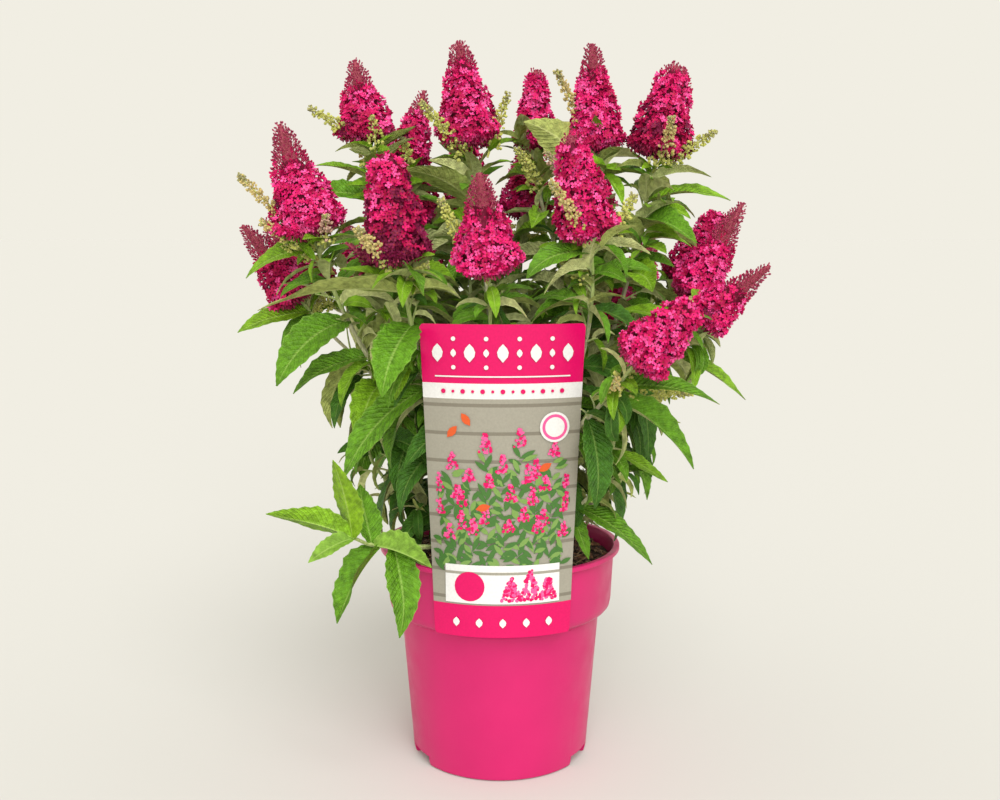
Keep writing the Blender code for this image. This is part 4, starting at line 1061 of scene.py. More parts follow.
def leaf_finish(leaf, rng):
    """Painted light and shade: fresh green high up and outside the crown, deeper green low and inside it,
    where shade falls, with a random spread. A leaf that has a tint keeps to it.
    """
    if "tint" in leaf:
        return TINTS[leaf["tint"]]
    height = leaf["root"].z
    outside = math.hypot(leaf["root"].x, leaf["root"].y)
    # light is painted light and shade: leaves lower down and further inside the crown get darker greens,
    # where shade falls.
    light = (height - 300 * MM) / (180 * MM) * 0.5 + outside / (160 * MM) * 0.35 + rng.uniform(-0.35, 0.35)
    top = FRESH if light > 0.42 else MIDDLE if light > 0.1 else DEEP
    return top, SAGE if rng.random() < 0.6 else OLIVE


def leaf_piece(name, leaves, rows, seed):
    """One mesh of many leaves, with a UV map that follows each blade."""
    rng = np.random.default_rng(seed)
    places = np.array(leaf_places(rows))
    blade_faces, blade_sides = leaf_faces(rows)
    blades = np.array([leaf_blade(leaf, places, rng) for leaf in leaves])
    pairs = np.array([leaf_finish(leaf, rng) for leaf in leaves])
    offsets = (np.arange(len(leaves)) * len(places)).reshape(-1, 1, 1)
    faces = np.where(blade_faces < 0, -1, blade_faces + offsets).reshape(-1, 4)
    finishes = np.where(blade_sides == 0, pairs[:, :1], pairs[:, 1:]).reshape(-1)
    piece = new_piece(name, blades.reshape(-1, 3), faces, LEAF_FINISHES, finishes, 60)
    blade = piece.data.uv_layers.new(name="blade")
    loops = np.zeros(len(piece.data.loops), dtype=np.int32)
    piece.data.loops.foreach_get("vertex_index", loops)
    mapped = np.stack([places[:, 0] / 2 + 0.5, places[:, 1]], axis=1)
    blade.data.foreach_set("uv", mapped[loops % len(places)].reshape(-1).astype(np.float32))
    return piece


# Finer growth stands along the twigs: short side twigs with small leaves of their own, which keep clear of
# all that the solids hold. Every twig is square and ridged, and the twigs of the heads and shoots swell at
# every node.

# How far the crown reaches at each height, in millimetres.
CROWN = (
    (165, 92),
    (200, 108),
    (250, 132),
    (300, 158),
    (350, 178),
    (400, 186),
    (450, 168),
    (500, 124),
    (550, 60),
)
SIDE_TWIG_LENGTH = (8, 26)
SIDE_LEAF_TRIES = 5
SIDE_LEAF_SIZES = (0.5, 0.3)
SIDE_LEAF_SPACING = 6 * MM
LEAF_TEST_FROM = 0.2
BRACT_COUNT = 6
BACK_FROM = 10 * MM
MORE_SPIKES = 2
MORE_SPIKE_LENGTH = (20, 36)
MORE_SPIKE_HALF_WIDTH = 3.5 * MM


def crown_radius(height):
    """How far small leaves may reach at this height, from the crown's rows of height and radius."""
    low = CROWN[0]
    for high in CROWN[1:]:
        if height <= high[0] * MM:
            break
        low = high
    share = (height / MM - low[0]) / (high[0] - low[0])
    return (low[1] + (high[1] - low[1]) * min(1, max(0, share))) * MM


def blade_outline(leaf):
    """A coarse strip along a leaf, from a little way out, for testing whether it has room."""
    down, side = leaf_frame(leaf["way"], leaf["outward"])
    corners = []
    for share, breadth in ((LEAF_TEST_FROM, 0.6), (0.45, 1.0), (0.75, 0.7), (1.0, 0.1)):
        point = midrib_point(leaf, share)
        reach = side * (leaf["length"] * leaf["width"] / 2 * breadth)
        corners += [point - reach, point + reach]
    return corners, [(0, 1, 3, 2), (2, 3, 5, 4), (4, 5, 7, 6)]


def box_of(corners):
    return [min(c[k] for c in corners) for k in range(3)], [max(c[k] for c in corners) for k in range(3)]


skin_boxes = {name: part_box(name) for name in skins}
small_taken = []


def meets(low, high, other_low, other_high):
    return all(low[k] <= other_high[k] and high[k] >= other_low[k] for k in range(3))


def takes_room(corners, faces):
    """True where these faces cut no solid and nothing small so far. What follows then keeps clear of them."""
    low, high = box_of(corners)
    tree = BVHTree.FromPolygons(corners, faces)
    near = [skins[name] for name, box in skin_boxes.items() if meets(low, high, *box)]
    near += [other for *other_box, other in small_taken if meets(low, high, *other_box)]
    if any(tree.overlap(other) for other in near):
        return False
    small_taken.append((low, high, tree))
    return True


def has_room(leaf):
    """True where a small leaf cuts no solid and no other small leaf, and stays inside the crown."""
    tip = midrib_point(leaf, 1)
    if math.hypot(tip.x, tip.y) > crown_radius(tip.z) * 1.02 or tip.z < SOIL_TOP + 6 * MM or in_the_way(leaf):
        return False
    return takes_room(*blade_outline(leaf))


def spike_has_room(root, tip):
    """True where a spike's outer part is clear of every solid and of the small leaves so far."""
    way = (tip - root).normalized()
    side = across_of(way) * MORE_SPIKE_HALF_WIDTH
    other = way.cross(side)
    start = root.lerp(tip, 0.35)
    return takes_room([start + side, start - side, tip, start + other, start - other], [(0, 1, 2), (3, 4, 2)])


def swollen(line, first, last, steps, spacing):
    """A rounded line and its radii, tapering, with a swelling at every node."""
    fine = rounded_line(line, steps)
    lengths = np.cumsum([0.0] + [(b - a).length for a, b in zip(fine, fine[1:])])
    shares_along = lengths / lengths[-1]
    node = np.abs(((lengths / spacing) % 1) - 0.5) * 2
    return fine, (first + (last - first) * shares_along) * (1 + 0.22 * np.clip(node - 0.72, 0, 1) / 0.28)


def settled(leaf, rng, sizes):
    """The leaf in the first of a few turns that has room, or nothing."""
    for attempt in range(SIDE_LEAF_TRIES):
        shrunk = 1 - 0.1 * attempt
        turned = turned_leaf(leaf, rng.uniform(-45, 45), rng.uniform(0, 38), rng.uniform(*sizes) * shrunk)
        if has_room(turned):
            return [turned]
    return []


def side_growth(pile, line, rng):
    """A short side twig every so often along a line, each with its leaves, where any of them has room."""
    leaves = []
    total = length_of(line)
    count = int(total / (NODE_SPACING * 0.5))
    for i in range(count):
        root, axis = along(line, total * (i + 0.2 + 0.6 * rng.random()) / count)
        outward = out_of_twig(axis, rng.uniform(0, 2 * math.pi))
        way = (axis * rng.uniform(0.6, 1.2) + outward).normalized()
        end = root + way * rng.uniform(*SIDE_TWIG_LENGTH) * MM
        side_twig = [root, root.lerp(end, 0.5) + axis * 0.8 * MM, end]
        kept = []
        for leaf in leaf_pairs(side_twig, 0.2, 1.0, SIDE_LEAF_SIZES, rng, SIDE_LEAF_SPACING):
            kept += settled(leaf, rng, (0.8, 1.5))
        if kept:
            pile.add(*ridged_limb(rounded_line(side_twig, 3), np.linspace(0.9, 0.45, 7) * MM, 6, 0.05), 1)
            leaves += kept
    return leaves


def bracts_and_spikes(line, rng):
    """What stands close under a flower head: narrow leaves all round it, and up to two more young spikes."""
    leaves, new_spikes = [], []
    total = length_of(line)
    for i in range(BRACT_COUNT):
        root, axis = along(line, total - rng.uniform(2, 26) * MM)
        outward = out_of_twig(axis, i * 2.4 + rng.uniform(-0.4, 0.4))
        leaves += settled(new_leaf(rng, root, axis, outward, 0.62), rng, (0.6, 1.15))
    for i in range(MORE_SPIKES):
        root, axis = along(line, total - rng.uniform(8, 24) * MM)
        outward = out_of_twig(axis, rng.uniform(0, 2 * math.pi))
        way = (axis + outward * rng.uniform(0.9, 1.4)).normalized()
        tip = root + way * rng.uniform(*MORE_SPIKE_LENGTH) * MM
        if spike_has_room(root, tip):
            new_spikes.append((root, tip))
    return leaves, new_spikes


for leaf in front_leaves:
    corners, faces = blade_outline(leaf)
    small_taken.append((*box_of(corners), BVHTree.FromPolygons(corners, faces)))

twig_pile = Pile()
small_leaves = []
more_spikes = []
heads = []
for name, found in twigs.items():
    young = name == "young_shoot"
    for k, twig in enumerate(found):
        line = list(twig["line"])
        rng = random.Random(name + "side" + str(k))
        if twig["head"]:
            heads.append((name, twig["head"]))
            bracts, new_spikes = bracts_and_spikes(line, rng)
            small_leaves += bracts
            more_spikes += new_spikes
            line.append(line[-1] + twig["head"]["way"] * HEAD_SINK)
        fine, radii = swollen(line, twig["radius"], TWIG_TIP_RADIUS, 5, NODE_SPACING)
        corners, faces = ridged_limb(fine, radii, 8, 0.1)
        twig_pile.add(corners, faces, 1 if young else (np.arange(len(faces)) > len(faces) * 0.6).astype(int))
        if not young:
            small_leaves += side_growth(twig_pile, twig["line"], rng)

for side_name, at_front in (("front", True), ("back", False)):
    large = [leaf for leaf in grown + front_leaves if (leaf["root"].y < BACK_FROM) == at_front]
    small = [leaf for leaf in small_leaves if (leaf["root"].y < BACK_FROM) == at_front]
    piece = leaf_piece("leaves_" + side_name, large, LARGE_LEAF_ROWS, 5)
    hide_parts(*[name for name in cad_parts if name.startswith(("crown_", "shoots_", "young_"))])
    leaf_piece("small_leaves_" + side_name, small, SMALL_LEAF_ROWS, 6)
leafy_twigs = twig_pile.piece("leafy_twigs", [stem_grey, stem_young], 50)


# The flower heads are dense cones of four-petalled florets round a core that is painted near black as the
# shade between them. They open from the foot up, so a head that is still young ends in a spire of club shaped
# buds.
CORE_SIDES = 14
CORE_STEPS = 12
FLORET_RADIUS = 2.65 * MM
FLORET_SPACING = 3.45 * MM
BUD_SPACING = 2.55 * MM
BUD_REACH = 5.4 * MM


def petal_skin(name, colour, edge_colour, roughness=0.55):
    """Petal skin: soft clouds from the petal's own colour to a lighter one, and a fine crepe relief."""
    stops = (0.35, colour), (0.7, edge_colour)
    return grained_finish(name, colour, (roughness, 0.2), (420, 3), stops, (1500, 2), (0.25, 0.0004))


BLOSSOM_FINISHES = (
    petal_skin("petal_bright", (0.7, 0.03, 0.2), (0.82, 0.12, 0.38)),
    petal_skin("petal_magenta", (0.56, 0.004, 0.1), (0.7, 0.014, 0.17)),
    petal_skin("petal_deep", (0.37, 0.002, 0.055), (0.5, 0.006, 0.095)),
    petal_skin("petal_wine", (0.13, 0.003, 0.03), (0.23, 0.01, 0.065)),
    petal_skin("bud_rose", (0.5, 0.1, 0.15), (0.64, 0.18, 0.24)),
    petal_skin("bud_wine", (0.22, 0.015, 0.055), (0.36, 0.035, 0.09)),
    # The head's core is painted shade: its near black wine stands for the shade in the gaps between the
    # florets.
    petal_skin("head_core_painted_shade", (0.12, 0.004, 0.022), (0.18, 0.008, 0.035), 0.8),
    petal_skin("spire_core", (0.26, 0.045, 0.065), (0.38, 0.08, 0.11), 0.8),
    petal_skin("floret_eye", (0.2, 0.01, 0.02), (0.4, 0.05, 0.03), 0.8),
)
BRIGHT, MAGENTA, DEEP_PINK, WINE, BUD_ROSE, BUD_WINE, CORE, SPIRE_CORE, EYE = range(9)


def floret_shape():
    """A closed trumpet with four round lobes that rise from a dark eye, open towards +Z."""
    corners = [(0, 0, -0.75)]
    for turn in (-45, 45, 135, 225):
        angle = math.radians(turn)
        corners.append((0.25 * math.cos(angle), 0.25 * math.sin(angle), -0.2))
    for lobe in range(4):
        for turn, reach, height in ((-45, 0.38, -0.06), (-27, 0.87, 0.1), (0, 1.06, 0.16), (27, 0.87, 0.1)):
            angle = lobe * math.pi / 2 + math.radians(turn)
            corners.append((reach * math.cos(angle), reach * math.sin(angle), height))
    faces = [(1, 2, 3, 4)]
    for lobe in range(4):
        eye, next_eye = 1 + lobe, 1 + (lobe + 1) % 4
        notch, a, b, c = (5 + 4 * lobe + k for k in range(4))
        faces += [(eye, notch, a, b), (eye, b, next_eye, -1), (next_eye, b, c, 5 + 4 * ((lobe + 1) % 4))]
    for k in range(0, 16, 2):
        faces.append((0, 5 + (k + 2) % 16, 6 + k, 5 + k))
    return np.array(corners) * FLORET_RADIUS, np.array(faces)


def bud_shape(rings):
    """A closed square bud of the given (radius, height) rings, with a point at its foot and its end."""
    corners = []
    for radius, height in rings:
        for k in range(4):
            corners.append((radius * math.cos(k * math.pi / 2), radius * math.sin(k * math.pi / 2), height))
    corners += [(0, 0, 0), (0, 0, 1)]
    last = 4 * len(rings)
    faces = []
    for i in range(len(rings) - 1):
        for k in range(4):
            faces.append((i * 4 + k, i * 4 + (k + 1) % 4, i * 4 + 4 + (k + 1) % 4, i * 4 + 4 + k))
    for k in range(4):
        faces.append((last, (k + 1) % 4, k, -1))
        faces.append((last + 1, last - 4 + k, last - 4 + (k + 1) % 4, -1))
    return np.array(corners), np.array(faces)


FLORET = floret_shape()
BUD = bud_shape(((0.06, 0.05), (0.08, 0.6), (0.17, 0.82)))
BUD_ENDS = np.array([0] * 4 + [1] * 4 + [0, 1] * 4)


def head_radius(share, bud):
    """The girth of a head at this share of its length: round at its foot, a spire where it is in bud."""
    if share < 0.16:
        return 0.72 + 0.28 * math.sin(share / 0.16 * math.pi / 2)
    tip = 0.46 - 0.28 * min(1, bud * 3)
    rest = (share - 0.16) / 0.84
    return tip + (1 - tip) * (1 - rest) ** (0.85 + 0.5 * bud)


def closed_radius(head, share):
    """The radius of a head's skin, which closes in at its foot and its tip."""
    radius = head["girth"] / 2 * head_radius(share, head["bud"])
    if share > 0.86:
        radius *= math.sqrt(max(0, 1 - ((share - 0.86) / 0.14) ** 2))
    if share < 0.13:
        radius *= math.sqrt(max(0, 1 - ((0.13 - share) / 0.13) ** 2))
    return radius


def as_array(vectors):
    return np.array([tuple(vector) for vector in vectors])


def head_spots(head, spacing, low, high, rng, lumps):
    """Places spread evenly over a head's skin, the way out of it at each, and the share of its length."""
    axis = head["tip"] - head["foot"]
    long_way = axis.length
    side = across_of(head["way"])
    other = head["way"].cross(side)
    places, ways, at = [], [], []
    share = low
    while share < high:
        radius = closed_radius(head, share)
        slope = (closed_radius(head, min(1, share + 0.02)) - closed_radius(head, max(0, share - 0.02))) / 0.04
        slope /= long_way
        count = max(1, round(2 * math.pi * radius / spacing))
        start = rng.uniform(0, 2 * math.pi)
        for k in range(count):
            angle = start + (k + rng.uniform(-0.25, 0.25)) * 2 * math.pi / count
            radial = side * math.cos(angle) + other * math.sin(angle)
            here = share + rng.uniform(-0.3, 0.3) * spacing / long_way
            own = head["girth"] * 4000
            lump = 1 + lumps * math.cos(angle * 3 + share * 15 + own)
            lump += 0.6 * lumps * math.cos(angle * 5 - share * 27)
            places.append(head["foot"] + axis * min(1, max(0, here)) + radial * radius * lump)
            ways.append((radial - head["way"] * (slope - 0.25)).normalized())
            at.append(share)
        share += spacing / long_way / math.sqrt(1 + slope * slope)
    return as_array(places), as_array(ways), np.array(at)


def grow_head(pile, head, seed):
    """One head: its core, painted dark as the shade between florets, its open florets, the bristle of buds at
    its end, and the calyx under it.
    """
    rng = np.random.default_rng(seed)
    opened = 1 - head["bud"]
    line, radii = [], []
    for i in range(CORE_STEPS + 1):
        share = i / CORE_STEPS
        radius = closed_radius(head, share)
        line.append(head["foot"].lerp(head["tip"], min(0.97, share)))
        radii.append(radius * 0.42 if share > opened else radius * 0.8 - 2 * MM)
    corners, faces = ridged_limb(line, np.maximum(radii, 1.1 * MM), CORE_SIDES, 0.06)
    in_spire = np.arange(len(faces)) // CORE_SIDES / CORE_STEPS > opened
    # Under the open florets the core is painted near black as the shade between them; in the spire it is a
    # dull pink.
    pile.add(corners, faces, np.where(in_spire, SPIRE_CORE, CORE))
    places, ways, at = head_spots(head, FLORET_SPACING, 0.02, 0.995, rng, 0.1)
    rows = [i for i, share in enumerate(at) if share < opened + rng.uniform(-0.08, 0.08)]
    places, ways, at = places[rows], ways[rows], at[rows]
    places -= ways * rng.uniform(0.1, 2.2, (len(rows), 1)) * MM
    ways += rng.normal(0, 0.4, ways.shape)
    patches = np.array([noise.noise(Vector(place) * 70 + Vector((seed, 0, 0))) for place in places])
    darkness = head["faded"] * np.clip(1.15 - at * 1.1, 0, 1) + rng.uniform(-0.2, 0.2, len(rows))
    darkness += patches * 0.6
    shades = np.where(darkness > 0.62, WINE, np.where(darkness > 0.3, DEEP_PINK, MAGENTA))
    shades = np.where((darkness < 0.35) & (rng.random(len(rows)) < 0.38), BRIGHT, shades)
    shades = np.where((shades == MAGENTA) & (rng.random(len(rows)) < 0.15), DEEP_PINK, shades)
    finish = np.repeat(shades[:, None], len(FLORET[1]), axis=1)
    finish[:, 0] = EYE
    pile.strew(FLORET, places, ways, rng.uniform(0.78, 1.16, len(rows)), rng, finish)
    if head["bud"] > 0:
        places, ways, at = head_spots(head, BUD_SPACING, opened - 0.1, 0.99, rng, 0.05)
        rows = [i for i, share in enumerate(at) if share > opened + rng.uniform(-0.12, 0.06)]
        places, ways, at = places[rows], ways[rows], at[rows]
        lengths = BUD_REACH * rng.uniform(0.75, 1.15, len(rows)) * (1.1 - 0.25 * at)
        ways += np.array(head["way"]) * (0.1 + 0.45 * at[:, None]) + rng.normal(0, 0.25, ways.shape)
        ways /= np.linalg.norm(ways, axis=1, keepdims=True)
        young = (at - opened) / head["bud"] + rng.uniform(-0.35, 0.35, len(rows))
        body = np.where(young < 0.2, MAGENTA, BUD_ROSE)[:, None]
        end = np.where(young < 0.1, DEEP_PINK, BUD_WINE)[:, None]
        if head["faded"] == 1:
            body, end = np.full_like(body, BUD_WINE), np.full_like(end, WINE)
        places -= ways * (lengths * 0.8 + rng.uniform(-0.6, 2.2, len(rows)) * MM)[:, None]
        pile.strew(BUD, places, ways, lengths, rng, np.where(BUD_ENDS[None] == 1, end, body))
    places, ways, at = head_spots(head, 3.6 * MM, 0.0, 0.1, rng, 0.1)
    places -= ways * 2 * MM
    ways -= np.array(head["way"]) * 0.7
    finish = np.full(len(places) * len(BUD[1]), BUD_WINE)
    pile.strew(BUD, places, ways, rng.uniform(3.5, 5.5, len(places)) * MM, rng, finish)


spent_foot = spot((-88, -85, 392))
spent_tip = spot((-108, -90, 407))
spent = {"foot": spent_foot, "tip": spent_tip, "girth": 13 * MM, "bud": 0.92, "faded": 1}
spent["way"] = (spent_tip - spent_foot).normalized()
heads.append(("crown_front_left", spent))

blossoms = {name: Pile() for name in ("front_left", "front_middle", "front_right", "back_left", "back_right")}
for number, (name, head) in enumerate(heads):
    at_x = head["foot"].x
    if name.startswith("crown_back"):
        group = "back_left" if at_x < 0 else "back_right"
    elif at_x < -50 * MM:
        group = "front_left"
    else:
        group = "front_right" if at_x > 80 * MM else "front_middle"
    grow_head(blossoms[group], head, 40 + number)
for group, pile in blossoms.items():
    piece = pile.piece("flower_heads_" + group, BLOSSOM_FINISHES, 40)


# Young spikes stand beside the heads. Each is a thin stalk set with opposite clusters of round green buds,
# which turn beige further up and olive at the end, and has two little leaves at its foot.

# The mass, the foot and the tip of each spike.
FRONT_SPIKES = (
    ("crown_upper_left", (-123, 0, 480), (-144, -5, 507)),
    ("crown_left", (-152, -58, 414), (-184, -70, 453)),
    ("crown_top", (-44, 0, 474), (-59, -12, 510)),
    ("crown_top", (-2, 30, 484), (4, 32, 523)),
    ("crown_front", (-38, -72, 398), (-42, -76, 437)),
    ("crown_front_left", (-78, -118, 378), (-94, -136, 416)),
    ("crown_upper_right", (52, 10, 492), (43, 4, 536)),
    ("crown_front_right", (36, -112, 410), (34, -126, 446)),
    ("crown_upper_right", (18, 20, 446), (13, 10, 478)),
    ("crown_far_right", (106, -28, 468), (124, -45, 496)),
    ("crown_far_right", (141, -15, 468), (160, -20, 488)),
    ("crown_low_right", (112, -84, 290), (136, -92, 302)),
)
SMALL_SPIKES = (
    ("crown_top", (2, 15, 476), (6, 20, 520)),
    ("crown_left", (-119, -70, 404), (-123, -78, 426)),
    ("crown_front_right", (89, -62, 414), (95, -66, 440)),
    ("crown_upper_right", (40, -5, 445), (35, -10, 473)),
    ("crown_upper_left", (-92, 0, 473), (-97, -8, 500)),
    ("crown_upper_left", (-62, 20, 460), (-76, 16, 486)),
    ("crown_left", (-136, -45, 395), (-158, -50, 405)),
    ("crown_left", (-149, -62, 405), (-171, -66, 421)),
)
SPIKE_GIRTH = 7 * MM
BUDDED_GIRTH = 1.8 * SPIKE_GIRTH
BUDS_IN_CLUSTER = 7


def spike_skin(name, colour, other):
    stops = (0.35, colour), (0.7, other)
    return grained_finish(name, colour, (0.75, 0.5), (500, 4), stops, (1400, 3), (0.4, 0.0004), 0.25)


SPIKE_FINISHES = (
    spike_skin("spike_green", (0.4, 0.42, 0.055), (0.58, 0.57, 0.15)),
    spike_skin("spike_beige", (0.46, 0.36, 0.1), (0.62, 0.5, 0.2)),
    spike_skin("spike_olive", (0.24, 0.23, 0.07), (0.38, 0.35, 0.14)),
    spike_skin("spike_rosy", (0.45, 0.25, 0.17), (0.6, 0.38, 0.28)),
)
SPIKE_GREEN, SPIKE_BEIGE, SPIKE_OLIVE, SPIKE_ROSY = range(4)
BEAD = bud_shape(((0.42, 0.25), (0.48, 0.62)))


def back_spikes(name):
    """Two young spikes, one on each side below every head of the back."""
    found = []
    for k, twig in enumerate(twigs[name]):
        rng = random.Random(name + str(k))
        line = twig["line"]
        root, axis = along(line, length_of(line) - rng.uniform(10, 16) * MM)
        turn = rng.uniform(0, math.pi)
        for half in (0, math.pi):
            way = (axis + out_of_twig(axis, turn + half) * rng.uniform(0.9, 1.3)).normalized()
            found.append((name, root, root + way * rng.uniform(30, 46) * MM))
    return found


def spike_grew(name, root, tip):
    """True where the mass's solid has this spike."""
    side = across_of((tip - root).normalized()) * (SPIKE_GIRTH / 2)
    middle = root + (tip - root) * 0.6
    return min(gap_to_solid(name, middle + side), gap_to_solid(name, middle - side)) < 0.5 * MM


def grow_spike(pile, leaves, root, tip, girth, seed):
    """A stalk with opposite clusters of buds, crowded together towards its end, and leaves at its foot."""
    rng = np.random.default_rng(seed)
    axis = tip - root
    way = axis.normalized()
    bow = across_of(way) * rng.uniform(-0.07, 0.07) * axis.length
    line = [root + axis * (i / 6) + bow * math.sin(i / 6 * math.pi) for i in range(7)]
    pile.add(*ridged_limb(line, np.linspace(0.95, 0.5, 7) * MM, 6, 0.05), SPIKE_GREEN)
    kind = rng.choice((SPIKE_GREEN, SPIKE_BEIGE, SPIKE_ROSY), p=(0.7, 0.22, 0.08))
    places, ways, sizes, shades = [], [], [], []
    distance, turn = 0.2 * axis.length, rng.uniform(0, 3)
    while distance < axis.length:
        share = distance / axis.length
        centre, along_way = along(line, distance)
        fat = girth / 2 * (1.5 - 1.15 * share)
        for half in (0, math.pi):
            for k in range(BUDS_IN_CLUSTER):
                outward = out_of_twig(along_way, turn + half + rng.uniform(-0.8, 0.8))
                up = rng.uniform(-0.6, 1.0)
                places.append(centre + outward * fat * rng.uniform(0.1, 0.85) + along_way * up * 1.4 * MM)
                ways.append(outward + along_way * (0.4 + up * 0.6))
                sizes.append(rng.uniform(2.3, 3.5) * MM * (1.15 - 0.5 * share))
                tone = share + rng.uniform(-0.12, 0.12)
                shades.append(SPIKE_OLIVE if tone > 0.92 else kind if tone > 0.4 else SPIKE_GREEN)
        turn += math.pi / 2
        distance += (5.6 - 3.6 * share) * MM
    rows = np.repeat(shades, len(BEAD[1]))
    pile.strew(BEAD, as_array(places), as_array(ways), np.array(sizes), rng, rows)
    side = across_of(along_way)
    for half in (1, -1):
        outward = (side * half + way * 0.4).normalized()
        leaf = new_leaf(random.Random(seed + half), root + way * 5 * MM, way, outward, 0.24)
        leaves.append(dict(turned_leaf(leaf, 20, 10, 1), tint="lime" if seed % 3 else "fresh"))


spike_pile = Pile()
spike_leaves = []
spikes = []
for name, foot, tip in FRONT_SPIKES:
    spikes.append((name, nearest_on(lines_of[name], spot(foot))[0], spot(tip)))
for name in masses:
    if name.startswith("crown_back"):
        spikes += back_spikes(name)
spikes = [(root, tip) for name, root, tip in spikes if spike_grew(name, root, tip)]
for name, foot, tip in SMALL_SPIKES:
    more_spikes.append((nearest_on(lines_of[name], spot(foot))[0].lerp(spot(foot), 0.5), spot(tip)))
for number, (root, tip) in enumerate(spikes + more_spikes):
    grow_spike(spike_pile, spike_leaves, root, tip, BUDDED_GIRTH, 90 + number)
piece = spike_pile.piece("young_spikes", SPIKE_FINISHES, 50)
leaf_piece("spike_leaves", spike_leaves, SMALL_LEAF_ROWS, 7)


# The plant label is a tall coated card that stands bent against the front of the rim. It is printed in
# magenta, white and grey with a plain garden ornament of planks, sprigs and dots.
LABEL_BOTTOM = 123 * MM
LABEL_TOP = 351 * MM
LABEL_BOTTOM_WIDTH = 104 * MM
LABEL_TOP_WIDTH = 119 * MM
LABEL_CORNER = 2.5 * MM
LABEL_ASIDE = 2 * MM
LABEL_THICKNESS = 0.8 * MM
LABEL_BOTTOM_BEND = LIP_RADIUS + 0.5 * MM
LABEL_TOP_BEND = 150 * MM
LABEL_LEAN = 18 * MM
LABEL_LEAN_FROM = 0.2
CORNER_SHARE = 0.05


def label_point(side, share, proud=0.0):
    """A point of the card: side runs from -1 to 1 across it, and share from 0 to 1 up it."""
    width = LABEL_BOTTOM_WIDTH + (LABEL_TOP_WIDTH - LABEL_BOTTOM_WIDTH) * share
    height = LABEL_BOTTOM + (LABEL_TOP - LABEL_BOTTOM) * share
    past_straight = max(0, (abs(side) - (1 - CORNER_SHARE)) / CORNER_SHARE)
    rounding = LABEL_CORNER * (1 - math.sqrt(1 - min(1, past_straight) ** 2))
    height += rounding * (max(0, 1 - share / CORNER_SHARE) - max(0, 1 - (1 - share) / CORNER_SHARE))
    bend = LABEL_BOTTOM_BEND + (LABEL_TOP_BEND - LABEL_BOTTOM_BEND) * share**1.5
    angle = (side * width / 2 + LABEL_ASIDE) / bend
    centre = bend - LABEL_BOTTOM_BEND - LABEL_LEAN * max(0, share - LABEL_LEAN_FROM) ** 1.3
    return (bend + proud) * math.sin(angle), centre - (bend + proud) * math.cos(angle), height


def card_print(name, colour, roughness=0.3):
    """Printed and coated card: solid ink with a faint mottle, a soft gloss, and a slight unevenness."""
    stops = (0.3, shade(colour, 0.94)), (0.7, shade(colour, 1.04))
    return grained_finish(name, colour, (roughness, 0.3), (600, 4), stops, (70, 3), (0.1, 0.001))


INKS = (
    card_print("print_magenta", (0.6, 0.001, 0.1)),
    card_print("print_white", (0.68, 0.67, 0.65)),
    card_print("print_stone", (0.3, 0.28, 0.225)),
    card_print("print_stone_dark", (0.19, 0.17, 0.13)),
    card_print("print_leaf", (0.055, 0.15, 0.03)),
    card_print("print_leaf_light", (0.17, 0.29, 0.07)),
    card_print("print_pink", (0.72, 0.09, 0.27)),
    card_print("print_orange", (0.6, 0.09, 0.02)),
    card_print("card_back", (0.8, 0.79, 0.75), 0.6),
)
MAGENTA_INK, WHITE_INK, STONE_INK, DARK_INK, LEAF_INK, LIGHT_LEAF_INK = range(6)
PINK_INK, ORANGE_INK, CARD_BACK = range(6, 9)
CARD_COLUMNS = 80
CARD_ROWS = 90
CARD_LENGTH = 228
PANEL_FOOT = 0.105
WHITE_BAND = (0.77, 0.818)
PLANK_ROWS = 8
PLANK_GAP_ROW = 3
PRINT_HALF = 48
LAYER = 0.06 * MM
PRINT_DEPTH = 0.15 * MM
PRINT_CELL = 4
LOZENGE = (
    (-0.5, 0),
    (-0.2, 0.42),
    (0.05, 0.5),
    (0.28, 0.34),
    (0.5, 0),
    (0.28, -0.34),
    (0.05, -0.5),
    (-0.2, -0.42),
)


def on_card(x, y, proud):
    width = LABEL_BOTTOM_WIDTH + (LABEL_TOP_WIDTH - LABEL_BOTTOM_WIDTH) * y / CARD_LENGTH
    return label_point(2 * x * MM / width, y / CARD_LENGTH, LABEL_THICKNESS + proud)


def add_print(pile, outline, layer, ink):
    """A thin closed patch of ink that follows the card, from its outline in millimetres: x across, y up."""
    outline = np.array(outline)
    middle = outline.mean(axis=0)
    count = len(outline)
    top = LAYER * layer
    rings = 2 + int(np.abs(outline - middle).max() / PRINT_CELL)
    corners = [on_card(x, y, top - PRINT_DEPTH) for x, y in outline]
    for ring in range(rings):
        corners += [on_card(x, y, top) for x, y in middle + (outline - middle) * (1 - ring / rings)]
    corners += [on_card(*middle, top), on_card(*middle, top - PRINT_DEPTH)]
    last = rings * count
    faces = []
    for k in range(count):
        after = (k + 1) % count
        for ring in range(rings):
            low = ring * count
            faces.append((low + k, low + after, low + count + after, low + count + k))
        faces.append((last + k, last + after, last + count, -1))
        faces.append((after, k, last + count + 1, -1))
    pile.add(np.array(corners), np.array(faces), ink)


